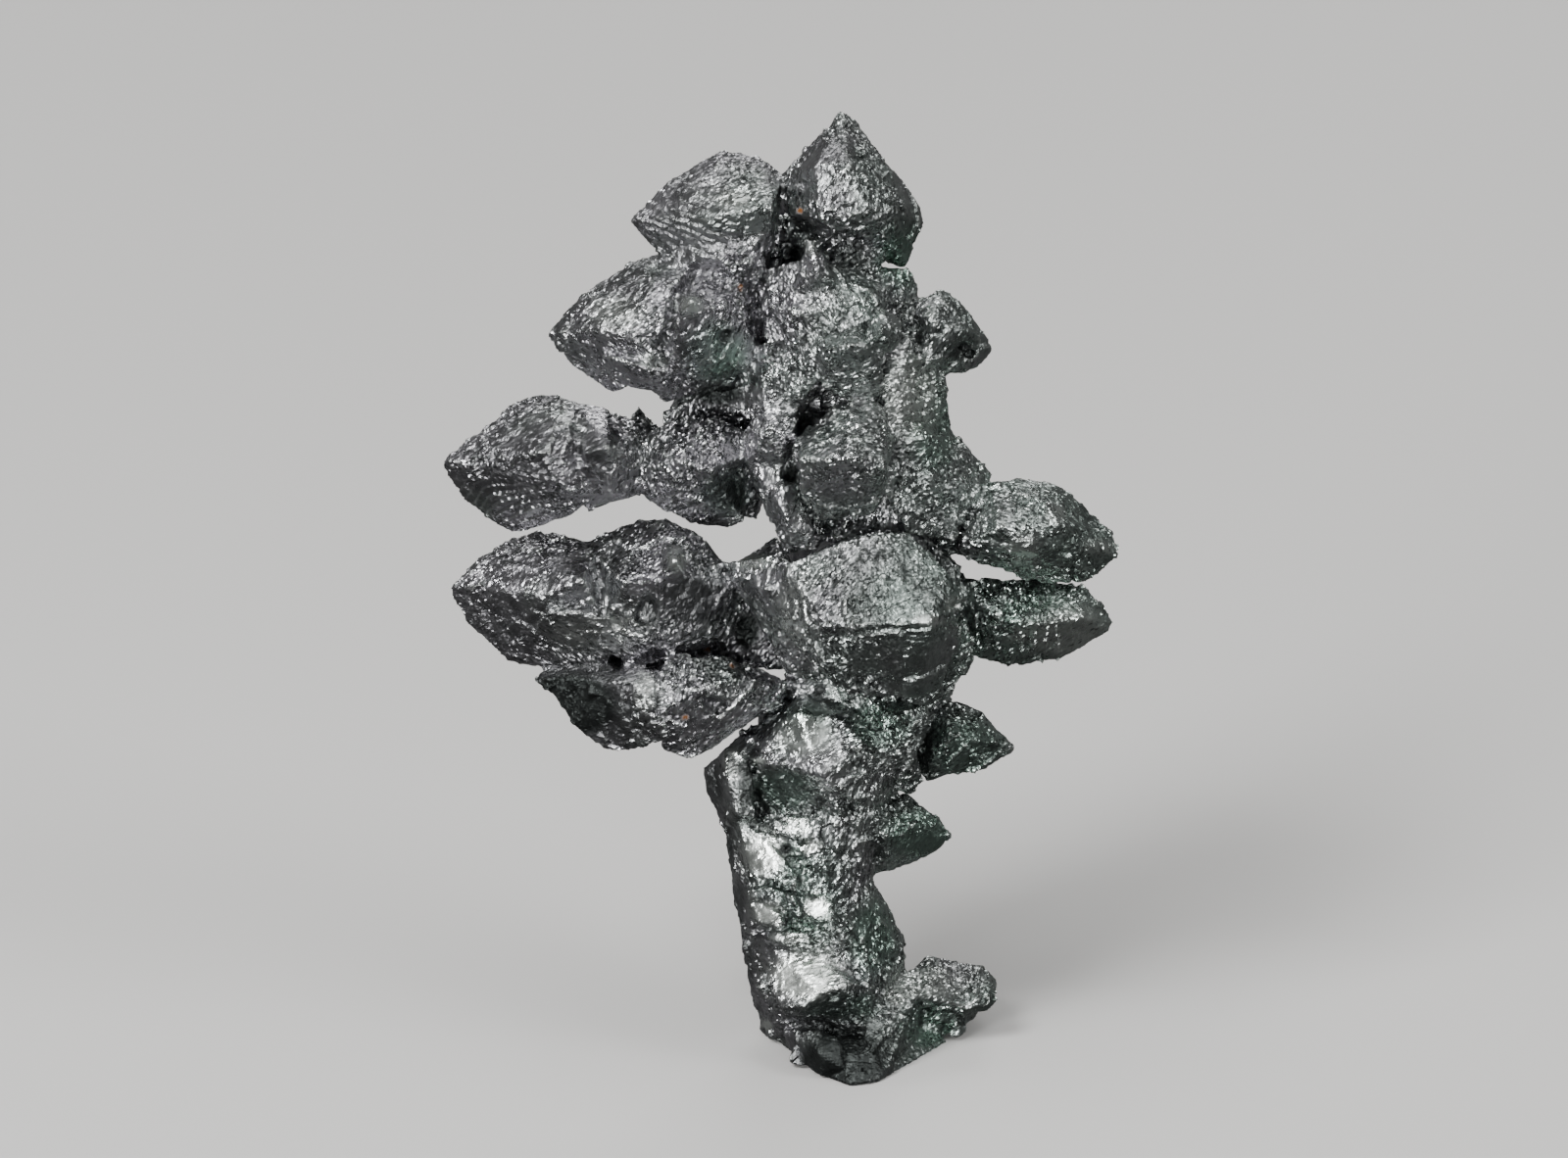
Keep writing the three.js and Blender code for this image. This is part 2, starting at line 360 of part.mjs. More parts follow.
// The crystals that the front shows, from the top of the crown down
const CROWN = {
  top: [
    [-1.1, 49.7, 5.6], [-0.45, 49.25, 5.8], [-4.05, 46.6, 5.2], [-3.8, 44.4, 3.4], [0.5, 48.1, 5.6],
    [1.9, 46.35, 5.4], [2.8, 45.0, 5.6], [3.2, 44.0, 6.0], [2.4, 42.4, 5.4], [2.1, 41.8, 5.0],
    [-0.8, 47.0, 1.9], [-2.4, 46.9, 2.5], [0.3, 44.5, 1.2], [-2.2, 44.2, 1.1], [1.5, 44.7, 2.2],
    [-1.0, 46.2, 10.2], [1.6, 44.0, 10.4], [-2.6, 43.0, 7.6],
  ],
  blade: [
    [-2.75, 43.2, 1.3], [-3.8, 40.2, 1.7], [-0.7, 40.9, 1.5], [-2.2, 41.2, 0.1], [-2.3, 41.8, 4.0],
  ],
  upper_left: [
    [-11.85, 44.15, 4.4], [-10.0, 46.05, 4.8], [-8.0, 47.3, 5.4], [-7.2, 47.65, 5.6], [-6.3, 47.6, 5.8],
    [-5.0, 47.35, 5.8], [-4.0, 46.4, 5.4], [-9.0, 44.3, 2.5], [-8.0, 44.0, 1.9], [-6.1, 44.5, 1.3],
    [-4.6, 45.0, 1.5], [-10.9, 42.9, 4.4], [-10.2, 42.3, 4.2], [-7.8, 42.2, 2.9], [-6.6, 43.2, 1.9],
    [-4.6, 42.6, 3.0], [-8.0, 45.0, 8.6], [-4.8, 44.4, 9.8],
  ],
  second_left: [
    [-16.05, 38.4, 3.2], [-14.0, 40.8, 3.8], [-12.1, 42.0, 4.6], [-10.3, 42.65, 5.0], [-7.8, 42.6, 5.0],
    [-14.8, 36.85, 3.6], [-12.8, 35.4, 3.8], [-13.2, 38.6, 0.9], [-12.0, 38.0, 0.4], [-10.3, 38.4, -0.4],
    [-10.9, 36.3, 0.8], [-9.6, 41.0, 1.4], [-11.4, 39.4, 8.2], [-8.4, 38.0, 9.4],
  ],
  second_left_root: [
    [-10.0, 34.95, 3.0], [-9.2, 35.15, 2.8], [-11.4, 36.2, 2.4], [-7.0, 36.0, 2.9], [-5.5, 36.9, 3.0],
    [-9.3, 39.3, -0.6], [-7.9, 39.4, 0.2], [-9.7, 36.3, 0.7], [-8.0, 37.2, 0.4], [-8.2, 41.9, 3.4],
    [-5.5, 41.6, 3.8], [-5.0, 38.4, 3.6], [-7.0, 40.0, 0.9], [-7.8, 38.0, 9.4], [-5.4, 40.4, 8.8],
  ],
  second_left_block: [
    [-8.6, 40.0, -1.9], [-9.4, 40.5, 0.2], [-8.0, 40.5, 0.6], [-9.4, 39.4, -1.1], [-8.0, 39.3, -0.7],
    [-8.7, 38.8, 0.6], [-8.7, 39.9, 2.6],
  ],
  second_left_ledge: [
    [-13.4, 37.5, 1.6], [-12.4, 37.2, 0.0], [-11.0, 36.6, -0.6], [-9.7, 36.5, -0.3], [-12.9, 36.2, 2.2],
    [-11.4, 35.6, 1.4], [-9.8, 35.5, 1.4], [-11.4, 36.8, 4.4],
  ],
  third_left: [
    [-21.45, 32.0, 4.2], [-21.3, 31.4, 4.4], [-20.0, 33.35, 4.6], [-17.3, 35.3, 5.2], [-15.6, 35.4, 5.2],
    [-14.6, 35.1, 5.2], [-20.4, 30.15, 4.8], [-18.0, 28.3, 4.2], [-17.5, 28.35, 4.0], [-14.9, 29.25, 3.4],
    [-19.6, 31.4, 3.0], [-15.6, 30.9, 0.9], [-16.4, 32.4, 0.9], [-14.8, 33.4, 1.4], [-13.4, 30.4, 2.0],
    [-16.4, 32.4, 8.2], [-13.2, 32.2, 8.0],
  ],
  third_left_root: [
    [-14.8, 35.1, 5.2], [-13.2, 34.75, 4.6], [-12.6, 34.35, 4.4], [-11.1, 33.3, 4.0], [-10.8, 32.2, 3.4],
    [-11.3, 30.3, 3.6], [-12.3, 29.9, 3.6], [-14.0, 29.4, 3.6], [-14.2, 32.4, 0.5], [-12.9, 32.7, 0.3],
    [-12.8, 30.4, 1.6], [-13.0, 32.0, 8.4], [-11.0, 31.6, 7.4],
  ],
  inner_left: [
    [-11.2, 33.3, 3.6], [-9.5, 34.1, 3.4], [-7.6, 34.2, 3.5], [-6.1, 33.5, 3.7], [-5.9, 32.2, 3.1],
    [-11.3, 31.5, 2.8], [-11.2, 30.2, 3.2], [-10.0, 29.3, 3.0], [-9.4, 32.0, 1.0], [-7.7, 31.6, 1.5],
    [-7.9, 30.2, 2.5], [-9.2, 32.4, 8.2], [-6.4, 31.4, 8.2], [-4.2, 32.8, 5.4], [-4.4, 31.6, 7.4]
  ],
  inner_left_fringe: [
    [-8.9, 28.9, 4.4], [-10.2, 29.5, 4.0], [-6.9, 28.65, 5.2], [-6.0, 29.0, 5.2], [-6.0, 31.2, 4.6],
    [-7.2, 31.0, 3.2], [-6.6, 29.6, 3.8], [-8.6, 31.4, 7.6],
  ],
  thorn_behind: [
    [-11.5, 35.0, 7.8], [-12.1, 34.0, 7.2], [-10.7, 34.1, 7.4], [-11.4, 32.6, 6.4], [-10.4, 33.0, 8.6],
    [-11.8, 31.6, 6.4],
  ],
  fourth_left: [
    [-21.05, 25.6, 5.0], [-20.9, 25.0, 5.2], [-19.5, 27.25, 5.4], [-17.8, 28.15, 5.8], [-16.4, 28.5, 6.0],
    [-15.2, 28.35, 6.0], [-16.2, 25.2, 1.4], [-14.2, 26.0, 0.9], [-20.2, 23.8, 5.2], [-18.1, 21.75, 4.6],
    [-16.2, 21.65, 4.1], [-13.3, 20.9, 3.4], [-12.6, 22.3, 2.2], [-13.6, 27.8, 4.6], [-17.0, 25.5, 8.8],
    [-13.0, 25.0, 9.2],
  ],
  fourth_left_root: [
    [-11.2, 29.1, 4.7], [-10.0, 29.2, 4.5], [-8.5, 28.25, 4.0], [-7.0, 26.9, 3.6], [-6.0, 25.3, 3.4],
    [-14.2, 28.0, 5.2], [-12.2, 25.8, 0.6], [-10.2, 26.0, 0.2], [-9.0, 26.1, 0.9], [-13.4, 22.9, 2.0],
    [-11.9, 21.3, 2.6], [-10.2, 23.8, 0.9], [-8.3, 23.2, 1.7], [-6.6, 23.0, 3.2], [-9.6, 22.4, 2.4],
    [-12.0, 25.6, 8.8], [-7.4, 24.8, 8.8],
  ],
  fourth_left_block: [
    [-9.5, 27.0, -0.9], [-10.2, 27.9, 2.0], [-9.0, 27.7, 2.0], [-10.2, 26.2, -0.4], [-9.0, 26.0, -0.2],
    [-9.6, 25.4, 1.6], [-9.6, 26.8, 3.4],
  ],
  fourth_left_step: [
    [-16.4, 24.3, 1.2], [-14.6, 24.4, 0.5], [-12.8, 24.0, 0.5], [-16.8, 23.2, 2.6], [-14.4, 22.4, 1.9],
    [-12.2, 22.6, 1.6], [-14.6, 23.6, 4.4],
  ],
  fifth_left: [
    [-16.85, 21.0, 3.2], [-15.7, 21.8, 5.2], [-14.9, 18.8, 2.2], [-13.1, 17.3, 2.2], [-11.5, 17.2, 1.4],
    [-11.6, 20.7, -0.3], [-10.6, 19.5, -0.9], [-9.9, 18.0, -0.2], [-14.4, 21.0, 1.4], [-10.6, 21.4, 0.6],
    [-12.6, 19.4, 7.8], [-10.0, 20.4, 7.6],
  ],
  fifth_left_root: [
    [-8.8, 16.9, 0.9], [-10.2, 17.3, 0.9], [-7.6, 17.4, 1.4], [-4.1, 19.7, 2.4], [-3.8, 20.7, 2.6],
    [-5.0, 21.4, 2.8], [-7.3, 22.1, 2.5], [-9.9, 22.2, 1.9], [-10.8, 20.9, 0.5], [-10.2, 19.2, -0.5],
    [-8.6, 20.4, -0.2], [-6.4, 20.9, 0.9], [-5.6, 19.6, 1.2], [-8.4, 19.8, 7.6], [-4.4, 20.2, 7.4],
  ],
  front_big: [
    [3.4, 23.8, -3.3], [-1.9, 23.6, -2.9], [-3.9, 26.8, -0.2], [0.6, 28.55, 0.5], [2.4, 28.35, 0.7],
    [4.3, 26.5, -0.6], [5.25, 25.0, 0.0], [4.9, 22.7, -0.4], [3.9, 20.5, -0.2], [2.9, 20.0, -1.1],
    [-0.6, 20.1, -1.1], [-1.9, 21.1, -1.5], [-4.9, 24.4, 0.6], [-4.5, 26.3, 1.0], [0.4, 24.4, 7.0],
  ],
  front_high: [
    [-0.7, 32.1, -3.0], [1.15, 31.9, -2.2], [-3.2, 32.0, -1.8], [-3.55, 33.1, 0.8], [-1.9, 34.35, 1.1],
    [-0.5, 35.2, 1.3], [0.6, 35.15, 1.3], [1.2, 34.3, 1.1], [1.65, 33.1, 1.3], [-3.1, 30.3, -0.2],
    [-2.3, 29.05, 0.6], [0.5, 29.05, 0.4], [1.25, 30.8, 0.2], [-0.8, 32.0, 6.0],
  ],
  front_brow: [
    [-0.9, 37.8, -1.4], [0.1, 37.8, -1.2], [-1.9, 37.6, -1.0], [-2.3, 38.1, 0.8], [-0.1, 39.0, 0.8],
    [1.15, 36.9, 0.2], [1.05, 35.3, 1.0], [-0.5, 35.05, 0.8], [-1.8, 35.4, 0.8], [-2.2, 36.4, 0.4],
    [-0.6, 37.0, 5.0],
  ],
  front_bud: [
    [0.9, 38.4, -1.2], [0.0, 38.0, 0.2], [0.5, 39.1, 0.3], [1.0, 39.75, 1.0], [1.9, 39.1, 1.2],
    [2.0, 38.0, 1.0], [1.4, 37.4, 0.6], [0.2, 37.4, 0.4], [1.0, 38.4, 4.0],
  ],
  upper_right: [
    [6.6, 37.6, 6.0], [6.5, 38.25, 5.8], [4.7, 40.4, 5.2], [3.95, 40.7, 5.0], [2.8, 40.1, 4.4],
    [5.9, 36.75, 5.8], [5.1, 36.45, 5.4], [4.2, 36.6, 4.8], [3.6, 39.0, 2.9], [5.0, 38.6, 3.5],
    [3.2, 36.9, 2.8], [4.6, 38.8, 10.6], [1.8, 38.4, 6.0],
  ],
  right_high: [
    [13.15, 27.6, 5.8], [12.8, 28.35, 5.8], [11.2, 29.95, 5.8], [10.0, 30.95, 5.6], [8.1, 31.15, 5.2],
    [6.5, 30.95, 4.6], [5.8, 30.1, 4.2], [13.0, 27.15, 5.6], [11.4, 25.75, 4.9], [9.2, 25.85, 4.2],
    [8.0, 26.15, 3.8], [6.0, 26.8, 3.2], [4.7, 27.4, 2.8], [9.1, 30.1, 2.9], [10.0, 28.8, 2.2],
    [7.0, 28.7, 1.4], [8.4, 27.5, 1.5], [11.0, 27.7, 2.9], [9.0, 29.0, 11.0], [5.6, 29.0, 11.4],
  ],
  right_low: [
    [12.95, 23.8, 6.6], [12.5, 24.5, 6.4], [11.3, 25.75, 5.8], [8.0, 25.85, 4.8], [5.5, 26.1, 4.0],
    [12.6, 23.3, 6.4], [10.0, 21.8, 5.8], [8.3, 21.5, 5.2], [6.9, 21.9, 4.6], [5.6, 22.1, 4.0],
    [7.0, 24.0, 2.5], [9.0, 23.7, 2.7], [11.3, 24.0, 4.3], [6.0, 24.8, 2.7], [9.0, 24.0, 11.4],
    [5.8, 24.0, 11.6],
    [4.0, 25.2, 5.2], [4.0, 22.8, 5.6],
  ],
};

// The crystals of the back, as the front's but turned away
const BACK = {
  back_top: [
    [-1.8, 48.2, 11.4], [-4.2, 46.6, 9.4], [-4.6, 44.6, 11.6], [0.4, 46.4, 9.0], [1.0, 45.2, 12.0],
    [-2.4, 45.2, 14.2], [-2.0, 43.4, 9.0], [-3.6, 43.2, 12.2], [0.2, 43.6, 11.4],
  ],
  back_upper_left: [
    [-9.4, 44.6, 11.8], [-6.4, 46.0, 10.8], [-8.6, 43.2, 10.0], [-8.2, 42.8, 12.4], [-4.8, 44.6, 8.8],
    [-5.4, 43.6, 12.8], [-4.6, 42.0, 9.6], [-5.6, 41.8, 12.0],
  ],
  back_left: [
    [-12.0, 38.4, 11.8], [-9.4, 41.2, 11.4], [-11.4, 37.6, 9.4], [-10.0, 37.2, 12.4], [-6.6, 40.8, 8.6],
    [-7.0, 39.8, 12.8], [-6.2, 36.8, 9.6], [-7.2, 36.8, 12.4],
  ],
  back_left_shelf: [
    [-10.2, 34.2, 8.6], [-8.4, 36.6, 8.0], [-5.2, 37.2, 7.0], [-5.8, 34.0, 7.0], [-7.4, 34.2, 7.2],
    [-9.4, 35.4, 11.6], [-6.0, 36.0, 11.2],
    [-3.8, 36.4, 6.6],
  ],
  back_third_left: [
    [-15.2, 33.0, 9.8], [-13.6, 34.6, 9.6], [-14.8, 32.2, 7.6], [-13.4, 31.4, 9.8], [-10.4, 34.0, 8.8],
    [-10.2, 33.4, 11.4], [-10.6, 30.8, 8.6], [-11.4, 30.2, 10.6]
  ],
  back_inner_left: [
    [-8.6, 31.6, 12.4], [-6.6, 33.8, 11.4], [-9.6, 30.4, 10.6], [-6.8, 29.8, 12.0], [-5.0, 33.2, 8.0],
    [-4.2, 31.6, 12.2], [-5.4, 29.0, 8.4], [-8.4, 30.6, 7.2],
  ],
  back_fourth_left: [
    [-16.4, 26.4, 9.4], [-16.6, 27.6, 9.8], [-14.4, 27.6, 9.0], [-15.2, 25.4, 11.0], [-12.4, 27.6, 8.6],
    [-12.4, 26.4, 11.2], [-16.2, 25.0, 9.0], [-12.8, 23.6, 10.8], [-12.2, 23.4, 8.2]
  ],
  back_fourth_left_root: [
    [-11.2, 26.2, 12.6], [-12.8, 26.8, 9.6], [-8.4, 27.0, 9.0], [-7.6, 25.2, 11.8], [-10.8, 23.2, 11.6],
    [-5.0, 24.6, 7.4], [-4.6, 23.4, 9.0], [-10.6, 22.6, 8.2]
  ],
  back_fifth_left: [
    [-13.0, 20.8, 9.8], [-11.8, 22.2, 9.0], [-12.6, 18.6, 8.2], [-10.6, 18.6, 10.8], [-8.2, 22.2, 8.8],
    [-7.4, 20.8, 11.2], [-7.4, 18.6, 8.0],
    [-7.0, 20.6, 6.6], [-9.6, 20.6, 6.8],
  ],
  back_big: [
    [-0.6, 26.0, 16.4], [1.6, 26.4, 16.2], [-3.8, 28.2, 11.4], [1.6, 29.0, 11.0], [-4.6, 24.4, 11.6],
    [-1.8, 22.6, 13.0], [1.8, 23.0, 14.4], [3.4, 25.4, 12.4], [-3.0, 22.4, 9.0], [2.4, 22.2, 8.8],
    [0.0, 26.0, 7.0],
  ],
  back_high: [
    [1.2, 34.8, 16.2], [-0.8, 34.4, 15.4], [-2.6, 37.0, 10.4], [1.8, 37.2, 10.4], [2.8, 33.8, 13.6],
    [1.6, 31.2, 14.2], [-2.2, 31.0, 11.6], [-3.4, 33.8, 10.6], [0.0, 34.0, 7.0],
  ],
  back_brow: [
    [-0.4, 41.0, 14.6], [-3.8, 40.8, 10.4], [-1.6, 43.4, 9.4], [1.2, 41.2, 10.8], [0.9, 39.4, 14.2],
    [-2.6, 38.6, 11.6], [-1.0, 40.4, 6.0],
  ],
  back_upper_right: [
    [4.7, 39.7, 12.0], [2.9, 40.4, 8.8], [4.8, 38.2, 8.4], [3.2, 37.6, 14.0], [1.0, 40.6, 9.6],
    [1.2, 38.2, 8.0], [1.6, 40.0, 14.0]
  ],
  back_right: [
    [4.9, 33.0, 13.4], [4.2, 34.2, 9.8], [5.2, 31.8, 8.8], [3.8, 31.2, 15.6], [2.2, 35.0, 9.0],
    [1.8, 33.8, 15.8], [2.2, 31.0, 9.0], [2.2, 31.0, 15.4]
  ],
  back_right_high: [
    [11.8, 29.2, 10.4], [9.0, 30.5, 9.4], [10.2, 27.9, 8.8], [9.4, 28.0, 14.6], [7.0, 30.0, 16.2],
    [5.0, 30.9, 8.6], [4.2, 30.2, 15.8], [4.8, 27.6, 9.4], [5.8, 27.8, 16.0]
  ],
  back_right_low: [
    [11.4, 24.5, 11.6], [8.6, 25.5, 10.0], [10.2, 23.0, 9.0], [8.4, 22.6, 14.6], [6.8, 25.2, 16.8],
    [4.2, 26.2, 9.0], [3.4, 25.4, 16.4], [4.4, 22.6, 9.2], [4.4, 22.4, 15.4]
  ],
  back_thorn_high: [
    [5.0, 20.8, 13.4], [3.4, 22.0, 10.4], [4.6, 19.2, 9.4], [2.6, 18.8, 13.6], [1.0, 21.4, 8.8],
    [0.8, 19.0, 8.6],
  ],
  back_brow_low: [
    [-3.4, 19.8, 12.8], [-5.2, 20.6, 9.4], [-1.4, 21.6, 10.0], [-5.4, 18.4, 10.4], [-2.2, 17.8, 11.2],
    [-0.8, 19.2, 8.6], [-4.6, 18.0, 8.0],
  ],
  back_brow_right: [
    [3.2, 17.6, 13.2], [0.4, 19.4, 13.4], [3.8, 17.2, 9.4], [0.6, 15.4, 13.4], [1.8, 15.2, 9.6],
    [-1.4, 17.0, 14.0], [2.4, 19.4, 9.0], [0.0, 17.0, 7.0],
  ],
  back_shank_right: [
    [1.6, 12.6, 13.4], [-1.4, 13.6, 14.0], [2.4, 12.6, 9.0], [0.8, 14.4, 9.8], [0.1, 10.8, 12.8],
    [-1.6, 11.4, 13.4], [0.2, 11.0, 8.8], [0.0, 13.0, 7.0],
  ],
  back_root_right: [
    [1.5, 6.6, 13.0], [-0.8, 8.6, 13.2], [1.7, 7.4, 9.6], [0.4, 4.2, 12.6], [-1.6, 4.4, 13.4],
    [1.6, 5.2, 10.4], [0.4, 8.8, 9.4], [0.0, 3.4, 10.8], [-2.0, 3.6, 11.6], [0.0, 6.5, 7.0],
  ],
  back_shank: [
    [-2.4, 15.4, 11.8], [-5.2, 16.6, 9.6], [-0.2, 16.8, 9.6], [-4.8, 12.8, 9.8], [-1.2, 12.4, 10.8],
    [0.8, 14.0, 8.4], [-3.0, 14.0, 7.0],
  ],
  back_root: [
    [-3.4, 8.8, 11.4], [-5.4, 9.6, 9.0], [-1.0, 11.2, 9.6], [-4.7, 5.4, 9.8], [-4.2, 3.3, 10.4], [-1.0, 5.6, 10.8],
    [0.6, 8.4, 9.2], [-2.6, 8.0, 7.0],
  ],
};

// How thickly small crystals stand on each region
const OVERGROWN = [
  [FOOT, 0.8],
  [STEM, 1.1],
  [HEART, 1.5],
  [CROWN, 0.75],
  [BACK, 0.8],
];

// Hollows and pits in the surface, each [across, up, back], its half sizes, and its turn in the plane of sight
const HOLLOWS = [
  { at: [-3.1, 45.9, 2.9], half: [0.36, 0.9, 0.3], turn: 0.4 },
  { at: [-3.4, 42.75, 1.4], half: [0.5, 1.6, 0.62], turn: 0.2 },
  { at: [-0.9, 42.3, 1.5], half: [1.5, 1.3, 0.75], turn: -0.4 },
  { at: [-4.8, 39.3, 1.4], half: [0.42, 1.0, 0.3], turn: -0.3 },
  { at: [-6.9, 38.3, 0.8], half: [0.6, 1.0, 0.32], turn: 0.5 },
  { at: [-1.9, 35.45, 1.0], half: [0.55, 1.4, 0.26], turn: -0.3 },
  { at: [1.3, 36.9, 1.0], half: [0.34, 1.0, 0.42], turn: 0.2 },
  { at: [-2.8, 33.8, 0.6], half: [0.34, 2.0, 0.95], turn: -0.85 },
  { at: [-3.75, 31.3, 0.8], half: [0.52, 1.9, 0.6], turn: 0.1 },
  { at: [-2.75, 29.6, 0.4], half: [0.22, 1.6, 0.75], turn: 0.7 },
  { at: [-11.0, 24.4, 0.4], half: [0.75, 1.5, 1.15], turn: -0.5 },
  { at: [-7.5, 19.6, 0.0], half: [0.95, 1.3, 0.55], turn: -0.55 },
  { at: [-5.8, 23.6, 1.4], half: [0.7, 1.6, 1.1], turn: 0.1 },
  { at: [-8.0, 22.9, 1.2], half: [0.5, 1.2, 0.3], turn: 0.3 },
  { at: [-9.6, 27.85, 3.0], half: [0.8, 1.0, 0.14], turn: 0.35 },
  { at: [5.35, 37.55, 4.4], half: [0.75, 1.1, 0.5], turn: -0.6 },
  { at: [4.9, 24.3, -0.2], half: [0.5, 1.2, 0.75], turn: 0.1 },
  { at: [-3.95, 12.2, 1.0], half: [0.55, 1.1, 0.28], turn: 0.1 },
  { at: [-2.15, 12.8, 0.7], half: [0.2, 1.0, 0.38], turn: 0.1 },
  { at: [-2.2, 14.7, 0.9], half: [0.28, 0.9, 0.32], turn: 0.3 },
  { at: [-5.0, 13.25, 1.9], half: [0.34, 0.9, 0.6], turn: 0.7 },
  { at: [3.5, 18.0, 2.8], half: [0.34, 1.3, 1.5], turn: -0.3 },
  { at: [2.9, 16.5, 2.6], half: [0.3, 1.2, 0.6], turn: -0.15 },
  { at: [-12.9, 31.7, 0.8], half: [0.7, 0.9, 0.3], turn: 0.2 },
  { at: [-1.4, 7.6, 0.9], half: [0.26, 0.7, 0.26], turn: 0.0 },
];

// A hollow is an eight-sided pit with a ragged rim
function hollow({ at, half, turn }, next) {
  const points = [];
  for (let k = 0; k < 8; k += 1) {
    const angle = (k / 8) * 2 * Math.PI;
    const reach = 0.8 + 0.35 * next();
    const across = Math.cos(angle) * half[0] * reach;
    const up = Math.sin(angle) * half[2] * reach;
    const turned = [
      across * Math.cos(turn) - up * Math.sin(turn),
      across * Math.sin(turn) + up * Math.cos(turn),
    ];
    for (const [depth, share] of [[-half[1], 1.25], [half[1], 0.55]]) {
      points.push(corner([at[0] + turned[0] * share, at[1] + turned[1] * share, at[2] + depth]));
    }
  }
  return hull(points);
}

// Thin blades that stand side by side in the hollow under the top crystal
const BLADES = { count: 6, from: [-1.95, 43.1, 2.2], to: [0.5, 41.9, 2.4], long: 1.5, thick: 0.2, lean: 0.62 };

function blades() {
  const made = [];
  for (let k = 0; k < BLADES.count; k += 1) {
    const share = k / (BLADES.count - 1);
    const at = BLADES.from.map((v, n) => v + (BLADES.to[n] - v) * share);
    const reach = [Math.cos(BLADES.lean) * BLADES.long / 2, Math.sin(BLADES.lean) * BLADES.long / 2];
    const side = [-Math.sin(BLADES.lean) * BLADES.thick, Math.cos(BLADES.lean) * BLADES.thick];
    const points = [];
    for (const end of [-1, 1]) {
      for (const wide of [-1, 1]) {
        const across = at[0] + end * reach[0] + wide * side[0];
        const up = at[1] + end * reach[1] + wide * side[1];
        points.push(corner([across, up, at[2] + 1.8]));
      }
      points.push(corner([at[0] + end * reach[0] * 0.7, at[1] + end * reach[1] * 0.7, at[2] - 0.7]));
    }
    made.push(hull(points));
  }
  return made;
}

// Joins a list of solids two by two, which keeps each join small
function joined(solids) {
  let row = solids;
  while (row.length > 1) {
    const next = [];
    for (let i = 0; i < row.length; i += 2) next.push(i + 1 < row.length ? row[i].add(row[i + 1]) : row[i]);
    row = next;
  }
  return row[0];
}

// The whole group as one solid: joined, hollowed, and cut off flat at the foot. Crumbs that the
// hollows cut loose are left out.
function group() {
  const next = numbers(47);
  const grown = OVERGROWN.flatMap(([region, density]) =>
    Object.values(region).flatMap((corners) => crystal(corners, density, next)));
  const hollows = HOLLOWS.map((one) => solidOf(hollow(one, next)));
  const ground = new THREE.BoxGeometry(CUT_BOX, CUT_BOX, CUT_BOX).translate(0, 0, -CUT_BOX / 2);
  const whole = joined(grown.map(solidOf))
    .subtract(joined(hollows))
    .add(joined([...blades(), ...Object.values(SHINGLES).map(shingle)].map(solidOf)))
    .subtract(solidOf(ground));
  const [body, ...loose] = whole.decompose().sort((a, b) => b.volume() - a.volume());
  if (loose.some((one) => one.volume() > CRUMB)) throw new Error('a crystal stands apart from the group');
  return body;
}

// A solid as a three.js geometry
function geometryOf(solid) {
  const { vertProperties, triVerts } = solid.getMesh();
  const geometry = new THREE.BufferGeometry();
  geometry.setAttribute('position', new THREE.BufferAttribute(new Float32Array(vertProperties), 3));
  geometry.setIndex(new THREE.BufferAttribute(new Uint32Array(triVerts), 1));
  geometry.computeVertexNormals();
  return geometry;
}

const acanthite = new THREE.Mesh(
  geometryOf(group()),
  new THREE.MeshStandardMaterial({ color: CRYSTAL_GREY, metalness: 0.9, roughness: 0.42 }),
);
acanthite.name = 'acanthite';
acanthite.position.set(-FOOT_MIDDLE[0], -FOOT_MIDDLE[1], 0);

const specimen = new THREE.Group();
specimen.add(acanthite);

export default specimen;
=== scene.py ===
import itertools
import math

import bpy
import numpy as np
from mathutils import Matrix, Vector


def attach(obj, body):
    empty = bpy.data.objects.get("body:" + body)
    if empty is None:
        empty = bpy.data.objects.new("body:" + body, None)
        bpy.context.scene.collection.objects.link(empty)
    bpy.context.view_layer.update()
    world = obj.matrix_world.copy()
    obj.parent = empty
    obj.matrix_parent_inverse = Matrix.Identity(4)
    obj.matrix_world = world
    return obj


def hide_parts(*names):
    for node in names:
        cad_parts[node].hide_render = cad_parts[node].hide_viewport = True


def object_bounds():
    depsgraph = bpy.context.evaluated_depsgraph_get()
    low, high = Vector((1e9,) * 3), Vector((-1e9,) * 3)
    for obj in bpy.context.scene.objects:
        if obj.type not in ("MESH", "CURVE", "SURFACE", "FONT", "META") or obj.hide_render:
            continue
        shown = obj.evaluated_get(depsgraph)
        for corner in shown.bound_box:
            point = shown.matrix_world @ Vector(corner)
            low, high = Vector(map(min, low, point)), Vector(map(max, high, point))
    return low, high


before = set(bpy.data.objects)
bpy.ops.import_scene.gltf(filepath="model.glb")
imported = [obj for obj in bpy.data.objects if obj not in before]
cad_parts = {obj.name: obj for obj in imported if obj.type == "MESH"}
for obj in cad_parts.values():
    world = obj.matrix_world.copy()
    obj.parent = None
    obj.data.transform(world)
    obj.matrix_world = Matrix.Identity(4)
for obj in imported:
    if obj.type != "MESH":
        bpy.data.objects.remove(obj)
cad_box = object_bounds()

# Driving dimensions, in millimetres
MM = 0.001                    # one millimetre in metres
SKIN_SPACING = 0.15           # spacing of the fine skin's points
PICTURE_WIDTH = 80.0          # how much of the group's middle plane the picture takes in
PICTURE_MIDDLE = (-4.0, 0.0, 25.9)
CAMERA_HEIGHT = 20.0          # degrees above level
CAMERA_DISTANCE = 900.0
FOOT_FRONT = 4.9              # how far the front of the foot lies in front of the origin
SENSOR_WIDTH = 36.0
CAMERA_CLIP = (10.0, 20000.0)

